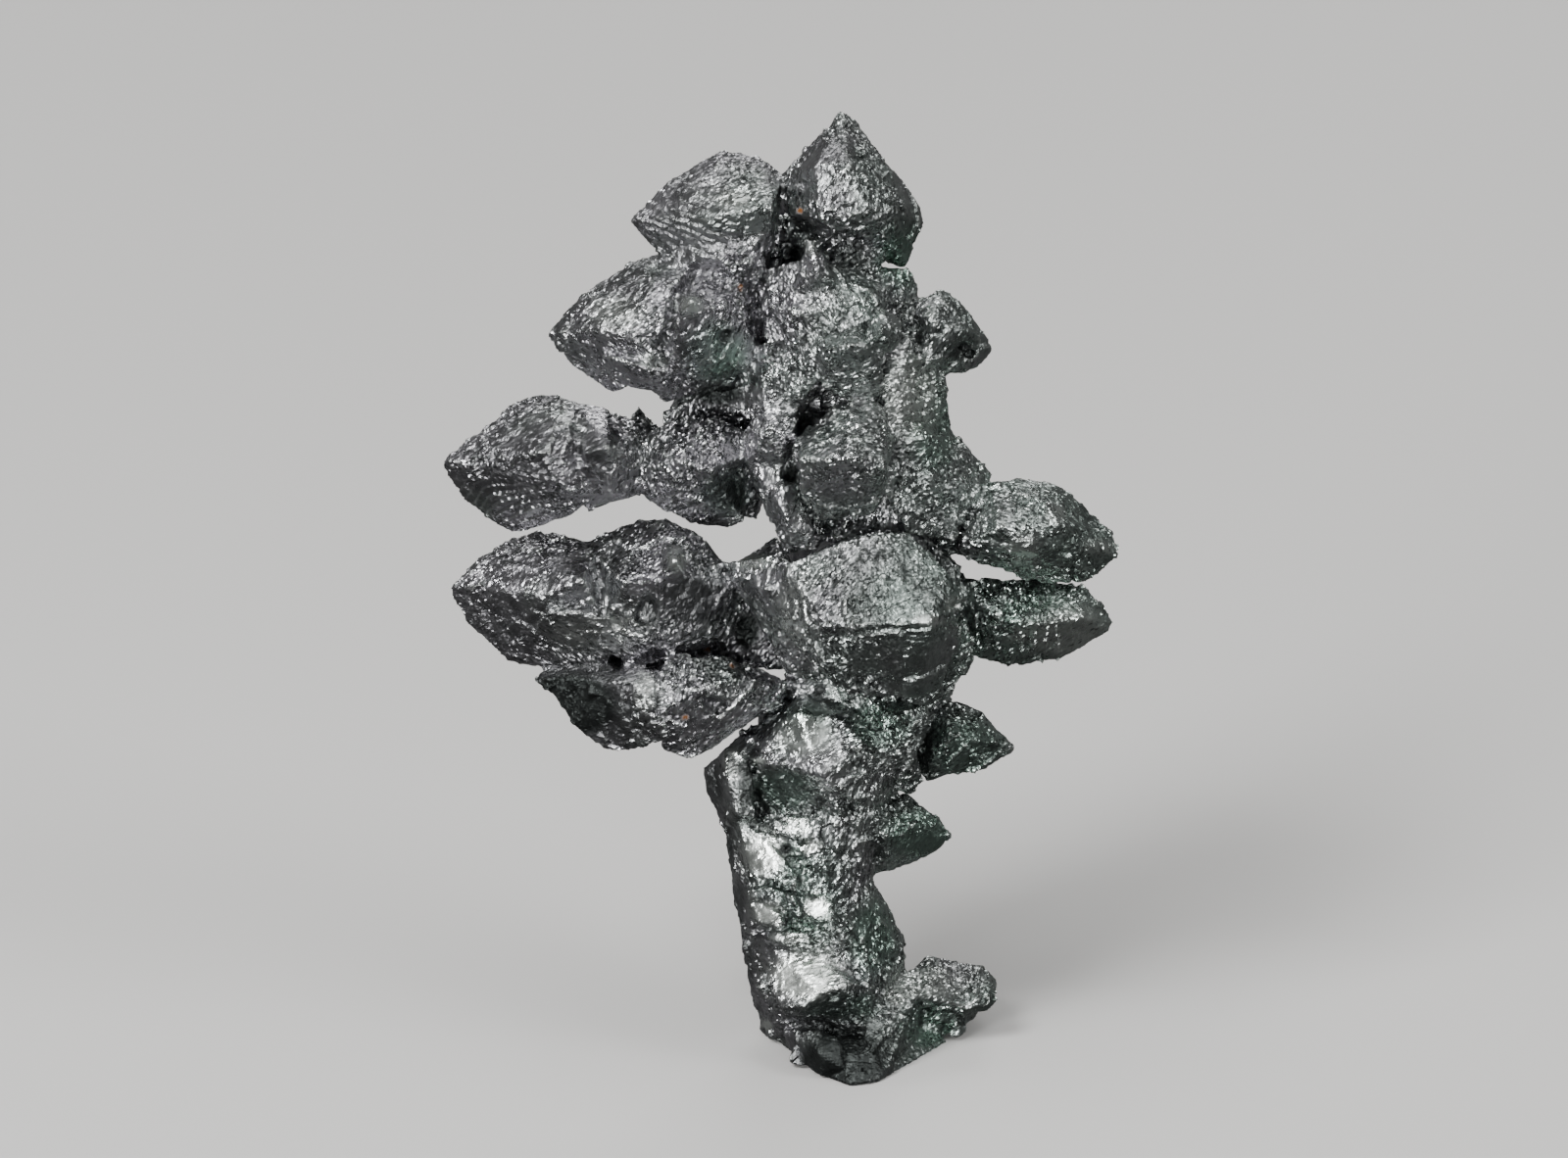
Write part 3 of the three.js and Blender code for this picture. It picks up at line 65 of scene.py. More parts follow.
# The grain of the etched crystal faces
BLOCK_SIZE = 2.6              # blocks of parallel growth
BLOCK_TILT = 0.06             # how far they lean, as a slope
FACET_SIZE = 1.0              # facets on a block
FACET_TILT = 0.12
FACET_STEP = 0.035            # how far they stand above or below each other
GRAIN_SIZE = 0.34             # how wide the single grains on a facet are
GRAIN_STRETCH = 2.2           # how much longer they are than wide
GRAIN_TILT = 0.14
GRAIN_STEP = 0.022
TERRACE_SPREAD = 3.4          # how far apart the growth terraces run
TERRACE_COUNT = 6
TERRACE_HEIGHT = 0.045
TERRACE_WARP = 0.25           # how much their edges wander
TREAD_FALL = 0.9              # how far a terrace falls before its cliff, as a share of the cliff
CLIFF_SHARE = 0.2             # how much of a terrace its cliff takes up
PIT_SPACING = 1.3
PIT_SHARE = 0.3               # how many of the places have a pit
PIT_RADII = (0.16, 0.384)     # the smallest and the largest
PIT_DEPTH = 0.22
GROWTH_LINE_DEPTH = 0.06
WANDER_SIZE = 1.6             # over which length the growth lines wander
WANDER = 0.8                  # and how far, as a share of their spacing
ROUGH_PATCH = 2.2             # how large the rough and the calm patches are
ROUGH_SWING = 0.8
CALMEST = 0.35                # how rough the smoothest faces are
HACKLIEST = 1.5               # and the most broken ones
MOST_RAISED = 0.3             # no grain stands further out of its face than this
MOST_SUNK = 0.48              # and no pit lies deeper
FRESH_CALM = 0.85             # how much flatter a fresh face lies
LINED_CALM = 0.5              # how much flatter a face with growth lines lies between them
LEAST_LEAN = 0.35             # how much of its lean a small mirror keeps where the growth isn't broken
FLAT_BELOW = 0.5              # the skin comes back to the solid below this height, for a flat cut
FINE_ROUNDS = 3               # rounds of smoothing that take the grain away
BROAD_ROUNDS = 40             # and those that take the crystals' edges away
MARK_PLATEAU = 1.6            # above 1, a mark keeps its full strength in the middle of its reach
HACKLY_PLATEAU = 1.2

# Grains are laid out on a grid of cells
JITTER = 0.8                  # how far a grain's middle strays in its cell, as a share of the cell
PLACE_NUMBERS = 3             # each grain's own numbers: three for its place, and four for its shape
SHAPE_NUMBERS = 4
# Each pattern has a salt of its own, so that no two of them repeat each other
SALTS = {
    "block": 3,
    "facet": 5,
    "grain": 7,
    "terrace": 11,
    "terrace_warp": 12,
    "pit": 13,
    "rough": 17,
    "wander": 31,
}
# The hash that makes the numbers: large odd factors that mix the bits well
STRIDE = np.uint64(0x9E3779B97F4A7C15)
Y_FACTOR = np.uint64(0xC2B2AE3D27D4EB4F)
Z_FACTOR = np.uint64(0x165667B19E3779F9)
FIRST_FACTOR = np.uint64(0xBF58476D1CE4E5B9)
SECOND_FACTOR = np.uint64(0x94D049BB133111EB)
SALT_STRIDE = 7919
SALT_START = 17
KEPT_BITS = 24


def linear(code):
    """A colour written as sRGB hex, turned to linear."""
    parts = [int(code[k:k + 2], 16) / 255 for k in (1, 3, 5)]
    turned = [c / 12.92 if c <= 0.04045 else ((c + 0.055) / 1.055) ** 2.4 for c in parts]
    return (*turned, 1.0)


# Repeatable numbers on a grid of cells

def chances(cells, salt, count):
    """Numbers from 0 to 1, the same for the same cell and salt each time."""
    x, y, z = (cells[:, k].astype(np.int64).astype(np.uint64) for k in range(3))
    state = x * STRIDE ^ y * Y_FACTOR
    state ^= z * Z_FACTOR ^ np.uint64(salt * SALT_STRIDE + SALT_START)
    columns = []
    for _ in range(count):
        state = state + STRIDE
        bits = (state ^ (state >> np.uint64(30))) * FIRST_FACTOR
        bits = (bits ^ (bits >> np.uint64(27))) * SECOND_FACTOR
        bits = bits ^ (bits >> np.uint64(31))
        columns.append((bits >> np.uint64(64 - KEPT_BITS)).astype(np.float64) / 2 ** KEPT_BITS)
    return np.stack(columns, 1)


def nearest_grain(points, size, salt):
    """For each point its grain: the way from the grain's middle, its distance, and the grain's numbers."""
    cells = np.floor(points / size)
    nearest = np.full(len(points), np.inf)
    away = np.zeros_like(points)
    count = PLACE_NUMBERS + SHAPE_NUMBERS
    numbers = np.zeros((len(points), count))
    for offset in itertools.product((-1, 0, 1), repeat=3):
        own = chances(cells + np.array(offset), salt, count)
        middle = (cells + np.array(offset) + 0.5 + JITTER * (own[:, :PLACE_NUMBERS] - 0.5)) * size
        way = points - middle
        distance = np.sqrt((way ** 2).sum(1))
        closer = distance < nearest
        nearest = np.where(closer, distance, nearest)
        away[closer] = way[closer]
        numbers[closer] = own[closer]
    return away, nearest, numbers[:, PLACE_NUMBERS:]


def tilted_facets(points, size, tilt, step, salt):
    """Each grain is a small flat facet with a lean and a height of its own."""
    away, _, numbers = nearest_grain(points, size, salt)
    lean = (numbers[:, :3] - 0.5) * 2 * tilt
    return (away * lean).sum(1) + (numbers[:, 3] - 0.5) * 2 * step


def soft_noise(points, size, salt):
    """Smooth noise from -1 to 1 that changes over about one size."""
    cells = np.floor(points / size)
    inside = points / size - cells
    blend = inside * inside * (3 - 2 * inside)
    total = np.zeros(len(points))
    for offset in itertools.product((0, 1), repeat=3):
        value = chances(cells + np.array(offset), salt, 1)[:, 0]
        weight = np.prod(np.where(np.array(offset) == 1, blend, 1 - blend), axis=1)
        total += value * weight
    return 2 * total - 1


def terraces(points):
    """Growth layers that end in low cliffs."""
    warp = soft_noise(points, TERRACE_SPREAD / 3, SALTS["terrace_warp"]) * TERRACE_WARP
    level = (soft_noise(points, TERRACE_SPREAD, SALTS["terrace"]) + warp) * TERRACE_COUNT / 2
    ramp = level - np.floor(level)
    cliff = np.clip((ramp - 1 + CLIFF_SHARE) / CLIFF_SHARE, 0, 1)
    return (cliff - TREAD_FALL * ramp) * TERRACE_HEIGHT


def pits(points):
    """Small hollows where the surface was etched away."""
    _, distance, numbers = nearest_grain(points, PIT_SPACING, SALTS["pit"])
    smallest, largest = PIT_RADII
    radius = smallest + (largest - smallest) * numbers[:, 1]
    bowl = np.clip(1 - distance / radius, 0, 1)
    return np.where(numbers[:, 0] < PIT_SHARE, -PIT_DEPTH * np.sqrt(bowl), 0)


def near(points, place, reach):
    """1 at a place, falling to 0 at its reach."""
    distance = np.sqrt((((points - np.array(place)) / np.array(reach)) ** 2).sum(1))
    fall = np.clip(1 - distance, 0, 1)
    return fall * fall * (3 - 2 * fall)


# Faces with growth lines, each with its middle, its reach, the way across the lines and their spacing
GROWTH_LINES = [
    ((-8.5, -1.5, 46.0), (4.5, 4.0, 2.6), (0.35, 0.1, 0.93), 0.46),
    ((-17.5, -0.5, 30.8), (4.5, 4.0, 2.6), (-0.5, 0.2, 0.85), 0.46),
    ((2.8, -1.5, 36.0), (2.0, 5.0, 3.6), (0.1, 0.0, 1.0), 0.55),
    ((8.6, -1.0, 23.0), (3.4, 4.0, 2.2), (1.0, 0.1, 0.1), 0.6),
    ((-4.6, -6.0, 24.8), (1.8, 3.0, 2.8), (0.8, 0.4, -0.4), 0.5),
]


def growth_lines(points):
    """Fine parallel steps on the faces that have them, and how far each point lies on such a face."""
    height = np.zeros(len(points))
    lined = np.zeros(len(points))
    for place, reach, across, spacing in GROWTH_LINES:
        way = np.array(across) / np.linalg.norm(across)
        wander = soft_noise(points, WANDER_SIZE, SALTS["wander"]) * WANDER
        phase = points @ way / spacing + wander
        saw = phase - np.floor(phase)
        share = np.clip(MARK_PLATEAU * near(points, place, reach), 0, 1)
        height += share * (saw - 0.5) * 2 * GROWTH_LINE_DEPTH
        lined = np.maximum(lined, share)
    return height, lined


def as_seen(points):
    """Across, up in the camera's plane, and away from the camera."""
    tilt = math.radians(CAMERA_HEIGHT)
    back = points[:, 1] + FOOT_FRONT
    up = points[:, 2] * math.cos(tilt) + back * math.sin(tilt)
    away = back * math.cos(tilt) - points[:, 2] * math.sin(tilt)
    return points[:, 0], up, away


# The skin is cut into pieces: the stem up to a height, and the crown's left, middle and right above it
STEM_TOP = 19.5
LEFT_SPLIT = 28.0             # the height between the lower and the upper crystals on the left
LEFT_END = -5.0
RIGHT_START = 2.2
PIECES = ["stem_crystals", "lower_left_crystals", "upper_left_crystals", "middle_crystals", "right_crystals"]


def piece_of(points):
    """The number of the piece of skin that each place belongs to."""
    stem, lower_left, upper_left, middle, right = range(len(PIECES))
    left = np.where(points[:, 2] < LEFT_SPLIT, lower_left, upper_left)
    crown = np.where(points[:, 0] < LEFT_END, left, np.where(points[:, 0] > RIGHT_START, right, middle))
    return np.where(points[:, 2] < STEM_TOP, stem, crown)


# The way the grains run, by place: on a crystal they fan out from its tip, and on the stem they run up.
# Each has its middle and its way, both as across and up in the plane of sight.
GRAIN_WAYS = [
    ((-1.0, 46.5), (0.15, 1.0)),
    ((-8.5, 45.0), (0.9, 0.45)),
    ((-8.8, 42.6), (0.7, -0.7)),
    ((-12.0, 39.6), (0.85, 0.5)),
    ((-12.0, 36.8), (0.6, -0.8)),
    ((-7.0, 40.5), (0.4, 0.9)),
    ((-17.0, 32.8), (0.9, 0.4)),
    ((-17.0, 30.0), (0.75, -0.65)),
    ((-8.5, 31.5), (0.2, 1.0)),
    ((-3.0, 38.5), (-0.4, 0.9)),
    ((-1.0, 34.0), (0.9, 0.2)),
    ((-1.0, 30.5), (0.1, 1.0)),
    ((2.5, 35.5), (1.0, 0.1)),
    ((5.0, 38.5), (0.6, 0.8)),
    ((6.5, 29.5), (0.9, -0.4)),
    ((11.0, 28.5), (0.8, -0.6)),
    ((8.0, 23.5), (0.1, 1.0)),
    ((11.5, 23.0), (1.0, 0.3)),
    ((-16.0, 26.0), (0.85, 0.5)),
    ((-14.0, 23.4), (0.75, -0.6)),
    ((-8.0, 24.0), (0.3, 0.9)),
    ((-14.0, 19.8), (0.95, 0.3)),
    ((-2.5, 25.5), (0.5, 0.85)),
    ((1.8, 25.5), (-0.3, 0.95)),
    ((0.6, 21.5), (-0.4, 0.9)),
    ((5.8, 17.5), (0.9, 0.2)),
    ((-3.0, 18.4), (0.8, 0.5)),
    ((-5.0, 12.0), (0.55, -0.8)),
    ((-1.0, 12.0), (0.2, 1.0)),
    ((-3.0, 6.0), (0.9, 0.35)),
    ((0.6, 6.8), (-0.5, 0.85)),
    ((3.6, 4.4), (0.7, 0.7)),
    ((-1.6, 1.4), (0.8, -0.5)),
]


def drawn_out(points):
    """The points pressed together along the grains, so that cells laid on them come out long."""
    across, up, away = as_seen(points)
    nearest = np.full(len(points), np.inf)
    way = np.zeros((len(points), 2))
    for place, own_way in GRAIN_WAYS:
        distance = np.hypot(across - place[0], up - place[1])
        way[distance < nearest] = np.array(own_way) / np.hypot(*own_way)
        nearest = np.minimum(nearest, distance)
    along = across * way[:, 0] + up * way[:, 1]
    pressed = along * (1 / GRAIN_STRETCH - 1)
    return np.stack([across + pressed * way[:, 0], away, up + pressed * way[:, 1]], 1)


# The skin: the group's solid with every face broken into grains

def fine_copy(source, spacing):
    """The solid's surface as an even net of small squares, in millimetres."""
    mesh = source.data.copy()
    mesh.transform(source.matrix_world)
    places = read(mesh.vertices, "co", 3) / MM
    mesh.vertices.foreach_set("co", places.ravel())
    mesh.update()
    holder = bpy.data.objects.new("skin_holder", mesh)
    bpy.context.collection.objects.link(holder)
    net = holder.modifiers.new("net", "REMESH")
    net.mode = "VOXEL"
    net.voxel_size = spacing
    seen = holder.evaluated_get(bpy.context.evaluated_depsgraph_get())
    fine = bpy.data.meshes.new_from_object(seen)
    bpy.data.objects.remove(holder)
    bpy.data.meshes.remove(mesh)
    return fine


def read(items, name, width):
    """One value of every item of a mesh, as rows of numbers."""
    values = np.empty(len(items) * width)
    items.foreach_get(name, values)
    return values.reshape(-1, width)


def spread(values, links, count, times):
    """Each point's value averaged with its neighbours', a number of times."""
    one, other = links[:, 0], links[:, 1]
    degree = np.bincount(one, minlength=count) + np.bincount(other, minlength=count)
    for _ in range(times):
        columns = []
        for column in values.T:
            total = np.bincount(one, column[other], count) + np.bincount(other, column[one], count)
            columns.append(0.5 * column + 0.5 * total / degree)
        values = np.stack(columns, 1)
    return values


# The places with the roughest growth, each with its middle and its reach
HACKLY_PLACES = [
    ((2.0, -2.0, 36.0), (4.5, 8.0, 9.0)),
    ((-2.5, -4.0, 38.0), (4.5, 6.0, 9.0)),
    ((-8.0, -3.0, 37.5), (3.6, 6.0, 4.0)),
    ((2.5, -2.5, 17.0), (5.5, 8.0, 6.0)),
    ((-8.5, -3.0, 32.0), (3.5, 6.0, 3.0)),
    ((5.0, -1.0, 28.5), (4.0, 6.0, 4.0)),
    ((-17.5, 1.0, 33.0), (4.5, 6.0, 2.5)),
]


def hackly(points):
    """How rough the growth is, from 0 on calm faces to 1 on the most broken ones."""
    share = 0.5 + ROUGH_SWING * soft_noise(points, ROUGH_PATCH, SALTS["rough"])
    for place, reach in HACKLY_PLACES:
        share = np.maximum(share, HACKLY_PLATEAU * near(points, place, reach))
    return np.clip(share, 0, 1)


def raised(points, calm, rough):
    """How far each point of the skin stands out of its crystal's face."""
    height = tilted_facets(points, FACET_SIZE, FACET_TILT, FACET_STEP, SALTS["facet"])
    height += tilted_facets(drawn_out(points), GRAIN_SIZE, GRAIN_TILT, GRAIN_STEP, SALTS["grain"])
    height *= (CALMEST + (HACKLIEST - CALMEST) * rough) * (1 - calm)
    height += tilted_facets(points, BLOCK_SIZE, BLOCK_TILT, 0.0, SALTS["block"]) * (1 - calm)
    height += (terraces(points) + pits(points)) * (1 - calm) + growth_lines(points)[0]
    return np.clip(height, -MOST_SUNK, MOST_RAISED)


# What the front shows by place. Each line has a place as across and up in the plane of sight, its reach
# both ways, and how strong it is there. Fresh faces are smooth and carry a painted highlight.
FRESH_AND_HIGHLIGHT_PLACES = [
    ((-2.9, 5.6), (2.9, 1.9), 1.0),    # the large facet over the heel
    ((-5.1, 11.9), (1.6, 1.7), 1.0),   # the shingles on the stem
    ((-4.9, 8.9), (1.3, 0.9), 1.0),
    ((-2.4, 9.2), (1.1, 0.8), 0.9),
    ((-3.4, 13.4), (1.4, 0.7), 0.8),
    ((-2.7, 12.3), (0.9, 0.6), 0.9),
    ((-3.6, 7.6), (1.4, 0.5), 0.6),
    ((-6.7, 16.6), (0.6, 1.2), 0.7),   # the edge of the shoulder
    ((-5.3, 16.75), (0.5, 0.35), 1.0),
    ((-4.9, 3.0), (0.5, 0.4), 1.0),
    ((-3.2, 18.1), (2.4, 1.6), 0.6),   # the top of the low brow
    ((-11.0, 20.2), (1.0, 1.6), 0.6),  # the ridge of the fifth crystal
    ((-13.6, 23.2), (3.6, 1.6), 0.5),  # the fourth crystal's lower face, and the block on it
    ((-9.5, 27.0), (0.7, 1.1), 0.9),
    ((-5.5, 26.9), (1.4, 0.6), 1.0),
    ((3.3, 23.9), (1.2, 0.5), 0.8),    # the big front crystal's edges
    ((4.6, 24.7), (0.7, 0.6), 0.7),
    ((-3.4, 24.4), (1.2, 3.0), 0.4),
    ((-8.7, 39.8), (1.0, 0.8), 0.9),   # the block on the second crystal, and its face
    ((-12.6, 39.4), (2.0, 1.4), 0.5),
    ((-10.6, 37.0), (1.0, 0.8), 0.5),
    ((-6.6, 45.2), (1.4, 0.7), 0.6),   # under the top crystal
    ((-2.6, 42.8), (0.7, 0.7), 0.6),
    ((2.4, 35.4), (2.2, 3.4), 0.65),   # the edge to the right of the high block
    ((8.3, 23.2), (1.2, 0.8), 0.6),    # the right crystals
    ((10.4, 23.2), (3.2, 2.2), 0.7),
    ((9.8, 29.3), (0.8, 0.8), 0.5),
    ((8.0, 27.6), (1.3, 1.2), 0.5),
    ((12.0, 27.6), (1.2, 0.7), 0.4),
    ((3.2, 5.3), (2.8, 1.2), 0.4),     # the toe's ridge
    ((1.9, 4.6), (1.0, 0.7), 0.6),
    ((-2.2, 1.9), (1.0, 0.8), 0.25),   # the heel
]
# Faces and deep hollows that lie in shade: painted shade makes them dark, and they are a little rougher
PAINTED_SHADE_PLACES = [
    ((-15.0, 19.6), (5.2, 3.4), 1.0),  # the fifth crystal
    ((1.2, 25.6), (5.0, 3.6), 0.45),   # the top of the big front crystal
    ((-9.0, 43.6), (4.8, 3.6), 0.35),  # the upper left crystal
    ((-18.3, 23.6), (2.6, 2.0), 0.35),  # the fourth crystal and its neighbour
    ((-8.8, 24.9), (2.4, 2.4), 0.75),
    ((-5.9, 23.4), (1.3, 1.8), 1.0),
    ((-10.6, 24.5), (0.9, 0.9), 0.6),
    ((-6.8, 30.4), (1.6, 1.4), 0.9),   # under and between the left crystals
    ((-7.3, 35.4), (2.4, 1.0), 1.0),
    ((-13.8, 32.6), (1.4, 1.2), 0.5),
    ((-18.0, 30.4), (3.0, 1.6), 0.35),
    ((-15.0, 37.2), (1.6, 1.0), 0.5),
    ((-7.6, 15.2), (0.8, 2.2), 0.8),   # the stem's left side
    ((-6.9, 12.2), (0.6, 2.6), 0.9),
    ((-6.3, 9.2), (0.5, 2.2), 0.8),
    ((-5.8, 6.2), (0.5, 2.6), 0.7),
    ((-5.9, 15.5), (0.6, 1.9), 0.9),
    ((-4.1, 15.2), (2.2, 1.3), 0.6),
    ((-1.0, 4.1), (3.0, 0.9), 0.6),    # under the large facet, and the heel
    ((-2.0, 3.0), (2.4, 0.6), 0.9),
    ((0.2, 0.8), (1.6, 1.4), 0.8),
    ((-1.0, 1.4), (4.4, 3.2), 1.0),
    ((-0.6, 22.6), (3.4, 2.6), 0.2),   # broad faces that are a little darker than their neighbours
    ((4.8, 38.6), (2.2, 2.4), 0.3),
    ((-17.0, 32.6), (4.4, 2.6), 0.45),
    ((-0.6, 46.4), (2.6, 3.0), 0.2),
    ((-3.9, 12.2), (0.6, 0.5), 1.0),   # pits
    ((-2.1, 12.8), (0.3, 0.5), 1.0),
    ((-2.2, 14.7), (0.4, 0.4), 1.0),
    ((-3.4, 42.5), (0.8, 1.0), 1.0),
    ((-0.9, 42.0), (1.8, 1.0), 0.7),
    ((-2.9, 33.8), (0.9, 1.3), 1.0),
    ((-3.7, 31.3), (0.7, 0.9), 1.0),
    ((-6.9, 38.3), (0.7, 0.6), 0.9),
    ((1.3, 36.9), (0.5, 0.6), 0.9),
    ((4.9, 37.5), (0.8, 0.7), 0.9),
    ((-0.8, 30.2), (2.0, 1.2), 0.5),   # the lower face of the high block
    ((3.3, 17.2), (0.6, 2.4), 0.9),    # between the stem and its thorns
    ((5.6, 17.4), (2.4, 1.6), 0.15),
    ((3.6, 12.6), (1.6, 1.2), 0.15),
    ((11.2, 29.1), (1.5, 1.4), 0.55),  # the right crystals
    ((9.6, 21.8), (3.2, 0.5), 0.3),
    ((1.9, 44.2), (1.6, 2.2), 0.4),    # the top crystal's right side
]
# Tarnish gives a faint green in the clefts and on the right
GREEN_PLACES = [
    ((-7.4, 37.4), (2.4, 2.2), 1.0),
    ((-6.9, 30.4), (1.8, 1.6), 1.0),
    ((-4.0, 15.2), (2.4, 1.6), 0.8),
    ((0.6, 7.5), (2.0, 3.4), 0.8),
    ((-1.0, 4.1), (3.0, 1.2), 0.9),
    ((3.4, 3.0), (2.6, 2.0), 0.6),
    ((5.2, 17.4), (3.4, 2.6), 0.7),
    ((3.0, 13.0), (3.0, 2.2), 0.8),
    ((-3.2, 18.4), (2.6, 2.0), 0.7),
    ((-3.0, 10.0), (3.4, 4.4), 0.6),
    ((3.6, 34.0), (2.0, 4.0), 0.7),
    ((9.0, 24.2), (4.4, 2.0), 0.7),
    ((2.0, 42.4), (2.0, 2.6), 0.9),
    ((1.0, 18.6), (2.6, 2.0), 0.7),
]
# Rust-brown grains that sit in the clefts
RUST_PLACES = [(-7.9, 22.4), (-6.6, 21.6), (-9.0, 19.0), (-3.2, 44.6), (-6.2, 40.8)]
RUST_REACH = 0.15


def by_place(points, places):
    """How strongly a list of places marks each point, from 0 to 1."""
    across, up, _ = as_seen(points)
    seen = np.stack([across, up], 1)
    marks = np.zeros(len(points))
    for place, reach, strength in places:
        marks = np.maximum(marks, strength * np.clip(MARK_PLATEAU * near(seen, place, reach), 0, 1))
    return marks


def rusty(points):
    """1 on the grains of rust, each on the part of the skin that is nearest to the camera."""
    across, up, away = as_seen(points)
    marks = np.zeros(len(points))
    for place in RUST_PLACES:
        beside = np.hypot(across - place[0], up - place[1])
        front = away[beside < RUST_REACH].min()
        marks[(beside < RUST_REACH) & (away < front + 2 * RUST_REACH)] = 1
    return marks


def dress(source, material):
    """Makes the fine skin of the solid, in five pieces that meet edge to edge."""
    fine = fine_copy(source, SKIN_SPACING)
    points = read(fine.vertices, "co", 3)
    outward = read(fine.vertices, "normal", 3)
    links = read(fine.edges, "vertices", 2).astype(np.int64)
    above_floor = np.clip(points[:, 2] / FLAT_BELOW, 0, 1)
    # fresh faces: made smoother here, and given a painted highlight in the material
    fresh_and_highlight = by_place(points, FRESH_AND_HIGHLIGHT_PLACES)
    calm = np.maximum(FRESH_CALM * fresh_and_highlight, LINED_CALM * growth_lines(points)[1])
    rough = hackly(points)
    shaped = points + outward * (raised(points, calm, rough) * above_floor)[:, None]
    lowest, highest = (np.array(side) / MM for side in cad_box)
    shaped = np.clip(shaped, lowest, highest)

    softened = spread(shaped, links, len(points), FINE_ROUNDS)
    broad = spread(shaped, links, len(points), BROAD_ROUNDS)
    marks = {
        "edge": ((shaped - softened) * outward).sum(1),
        "ridge": ((softened - broad) * outward).sum(1),
        # the fresh faces, which carry a painted highlight
        "fresh_and_highlight": fresh_and_highlight,
        "rough": rough * (1 - calm),
        "lean": (LEAST_LEAN + (1 - LEAST_LEAN) * rough) * (1 - calm),
        # painted shade, by place
        "painted_shade": by_place(shaped, PAINTED_SHADE_PLACES),
        "green": by_place(shaped, GREEN_PLACES),
        "rust": rusty(shaped),
    }
    drawn = drawn_out(shaped)
    corners = np.array([list(face.vertices) for face in fine.polygons if len(face.vertices) == 4])
    piece_numbers = piece_of(points[corners].mean(axis=1))
    for number, name in enumerate(PIECES):
        own = corners[piece_numbers == number]
        used, renumbered = np.unique(own, return_inverse=True)
        mesh = bpy.data.meshes.new(name)
        mesh.from_pydata(shaped[used] * MM, [], renumbered.reshape(-1, 4))
        for label, values in marks.items():
            store = mesh.attributes.new(label, "FLOAT", "POINT")
            store.data.foreach_set("value", values[used].astype(np.float32))
        store = mesh.attributes.new("drawn", "FLOAT_VECTOR", "POINT")
        store.data.foreach_set("vector", drawn[used].ravel().astype(np.float32))
        mesh.materials.append(material)
        piece = bpy.data.objects.new(name, mesh)
        bpy.context.collection.objects.link(piece)
        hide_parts("acanthite")
        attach(piece, "root")
    bpy.data.meshes.remove(fine)


# Acanthite, silver sulfide: opaque, with a metallic lustre. The faces grew as crystals and were then
# etched, so the eye gets a dark steel grey full of small mirrors and black pits. Its tarnish is
# faintly green on the right and in the clefts, and faintly lilac elsewhere. Sizes are in millimetres.
STEEL_GREY = "#939695"
# painted shade for the clefts, the hollows and the shaded places, and the colour of the black pits
PIT_AND_SHADE_GREY = "#3a3d3c"
GREEN_TARNISH = "#80978b"
LILAC_TARNISH = "#9d96a0"
# painted highlight on fresh faces and on the edges that stand out
PAINTED_HIGHLIGHT_GREY = "#d2d7d2"
RUST_BROWN = "#5f3c1e"

TARNISH_PATCH = 4.0           # how large its soft patches are
TARNISH_DETAIL = 3.0
TARNISH_LEFT = (-8.0, -0.2)   # at this place across, the tarnish leans by this much, which is to lilac
TARNISH_RIGHT = (12.0, 0.3)   # and here to green
ROUGHNESS_PATCH = 0.9         # how large the glossier and the duller patches are
ROUGHNESS_DETAIL = 4.0
ROUGHNESS_BETWEEN = (0.3, 0.7)  # the usual range of the noise that makes them
SMOOTHEST = 0.18
ROUGHEST = 0.38
CLEFT_DULLNESS = 0.25         # how much rougher a cleft is
SPARK_SIZE = 0.09             # the smallest mirrors, drawn at the size that still shows
SPARK_LEAN = 0.42
GLINT_SIZE = 0.2              # the larger mirrors that they sit on
GLINT_LEAN = 0.2
SPECK_SIZE = 0.13             # black pits between the mirrors, drawn as coarse as they need to show
SPECK_SHARE = 0.28            # how many of the grains are such pits where the growth is most broken

# The marks that the skin carries at every point. Edge and ridge are how far a point stands out of the
# grains and of the crystals around it, in millimetres.
MARKS = ["edge", "ridge", "fresh_and_highlight", "rough", "lean", "painted_shade", "green", "rust"]
# What tints, brightens or darkens a point: the measure that it goes by, where it begins, where it is
# full, and how much of it there is then
FINISHES = {
    "green": ("tarnish", 0.45, 0.8, 0.45),
    "lilac": ("tarnish", 0.5, 0.28, 0.4),
    # painted highlight on the edges that stand out
    "painted_edge_highlight": ("edge", 0.015, 0.05, 0.5),
    # painted shade in the small hollows between the grains
    "hollow": ("edge", -0.01, -0.05, 0.8),
    # painted shade in the clefts between the crystals
    "painted_cleft_shade": ("ridge", -0.25, -1.1, 1.0),
    "speck": ("speck", 0.0, -0.03, 0.85),
}


def add(tree, kind, settings=None, links=None):
    """Adds a node with its settings and its links."""
    node = tree.nodes.new(kind)
    for name, value in (settings or {}).items():
        if isinstance(name, int) or name in node.inputs:
            node.inputs[name].default_value = value
        else:
            setattr(node, name, value)
    for name, source in (links or {}).items():
        tree.links.new(source, node.inputs[name])
    return node


MIX_A, MIX_B, MIX_RESULT = 6, 7, 2   # the colour sockets of a mix node


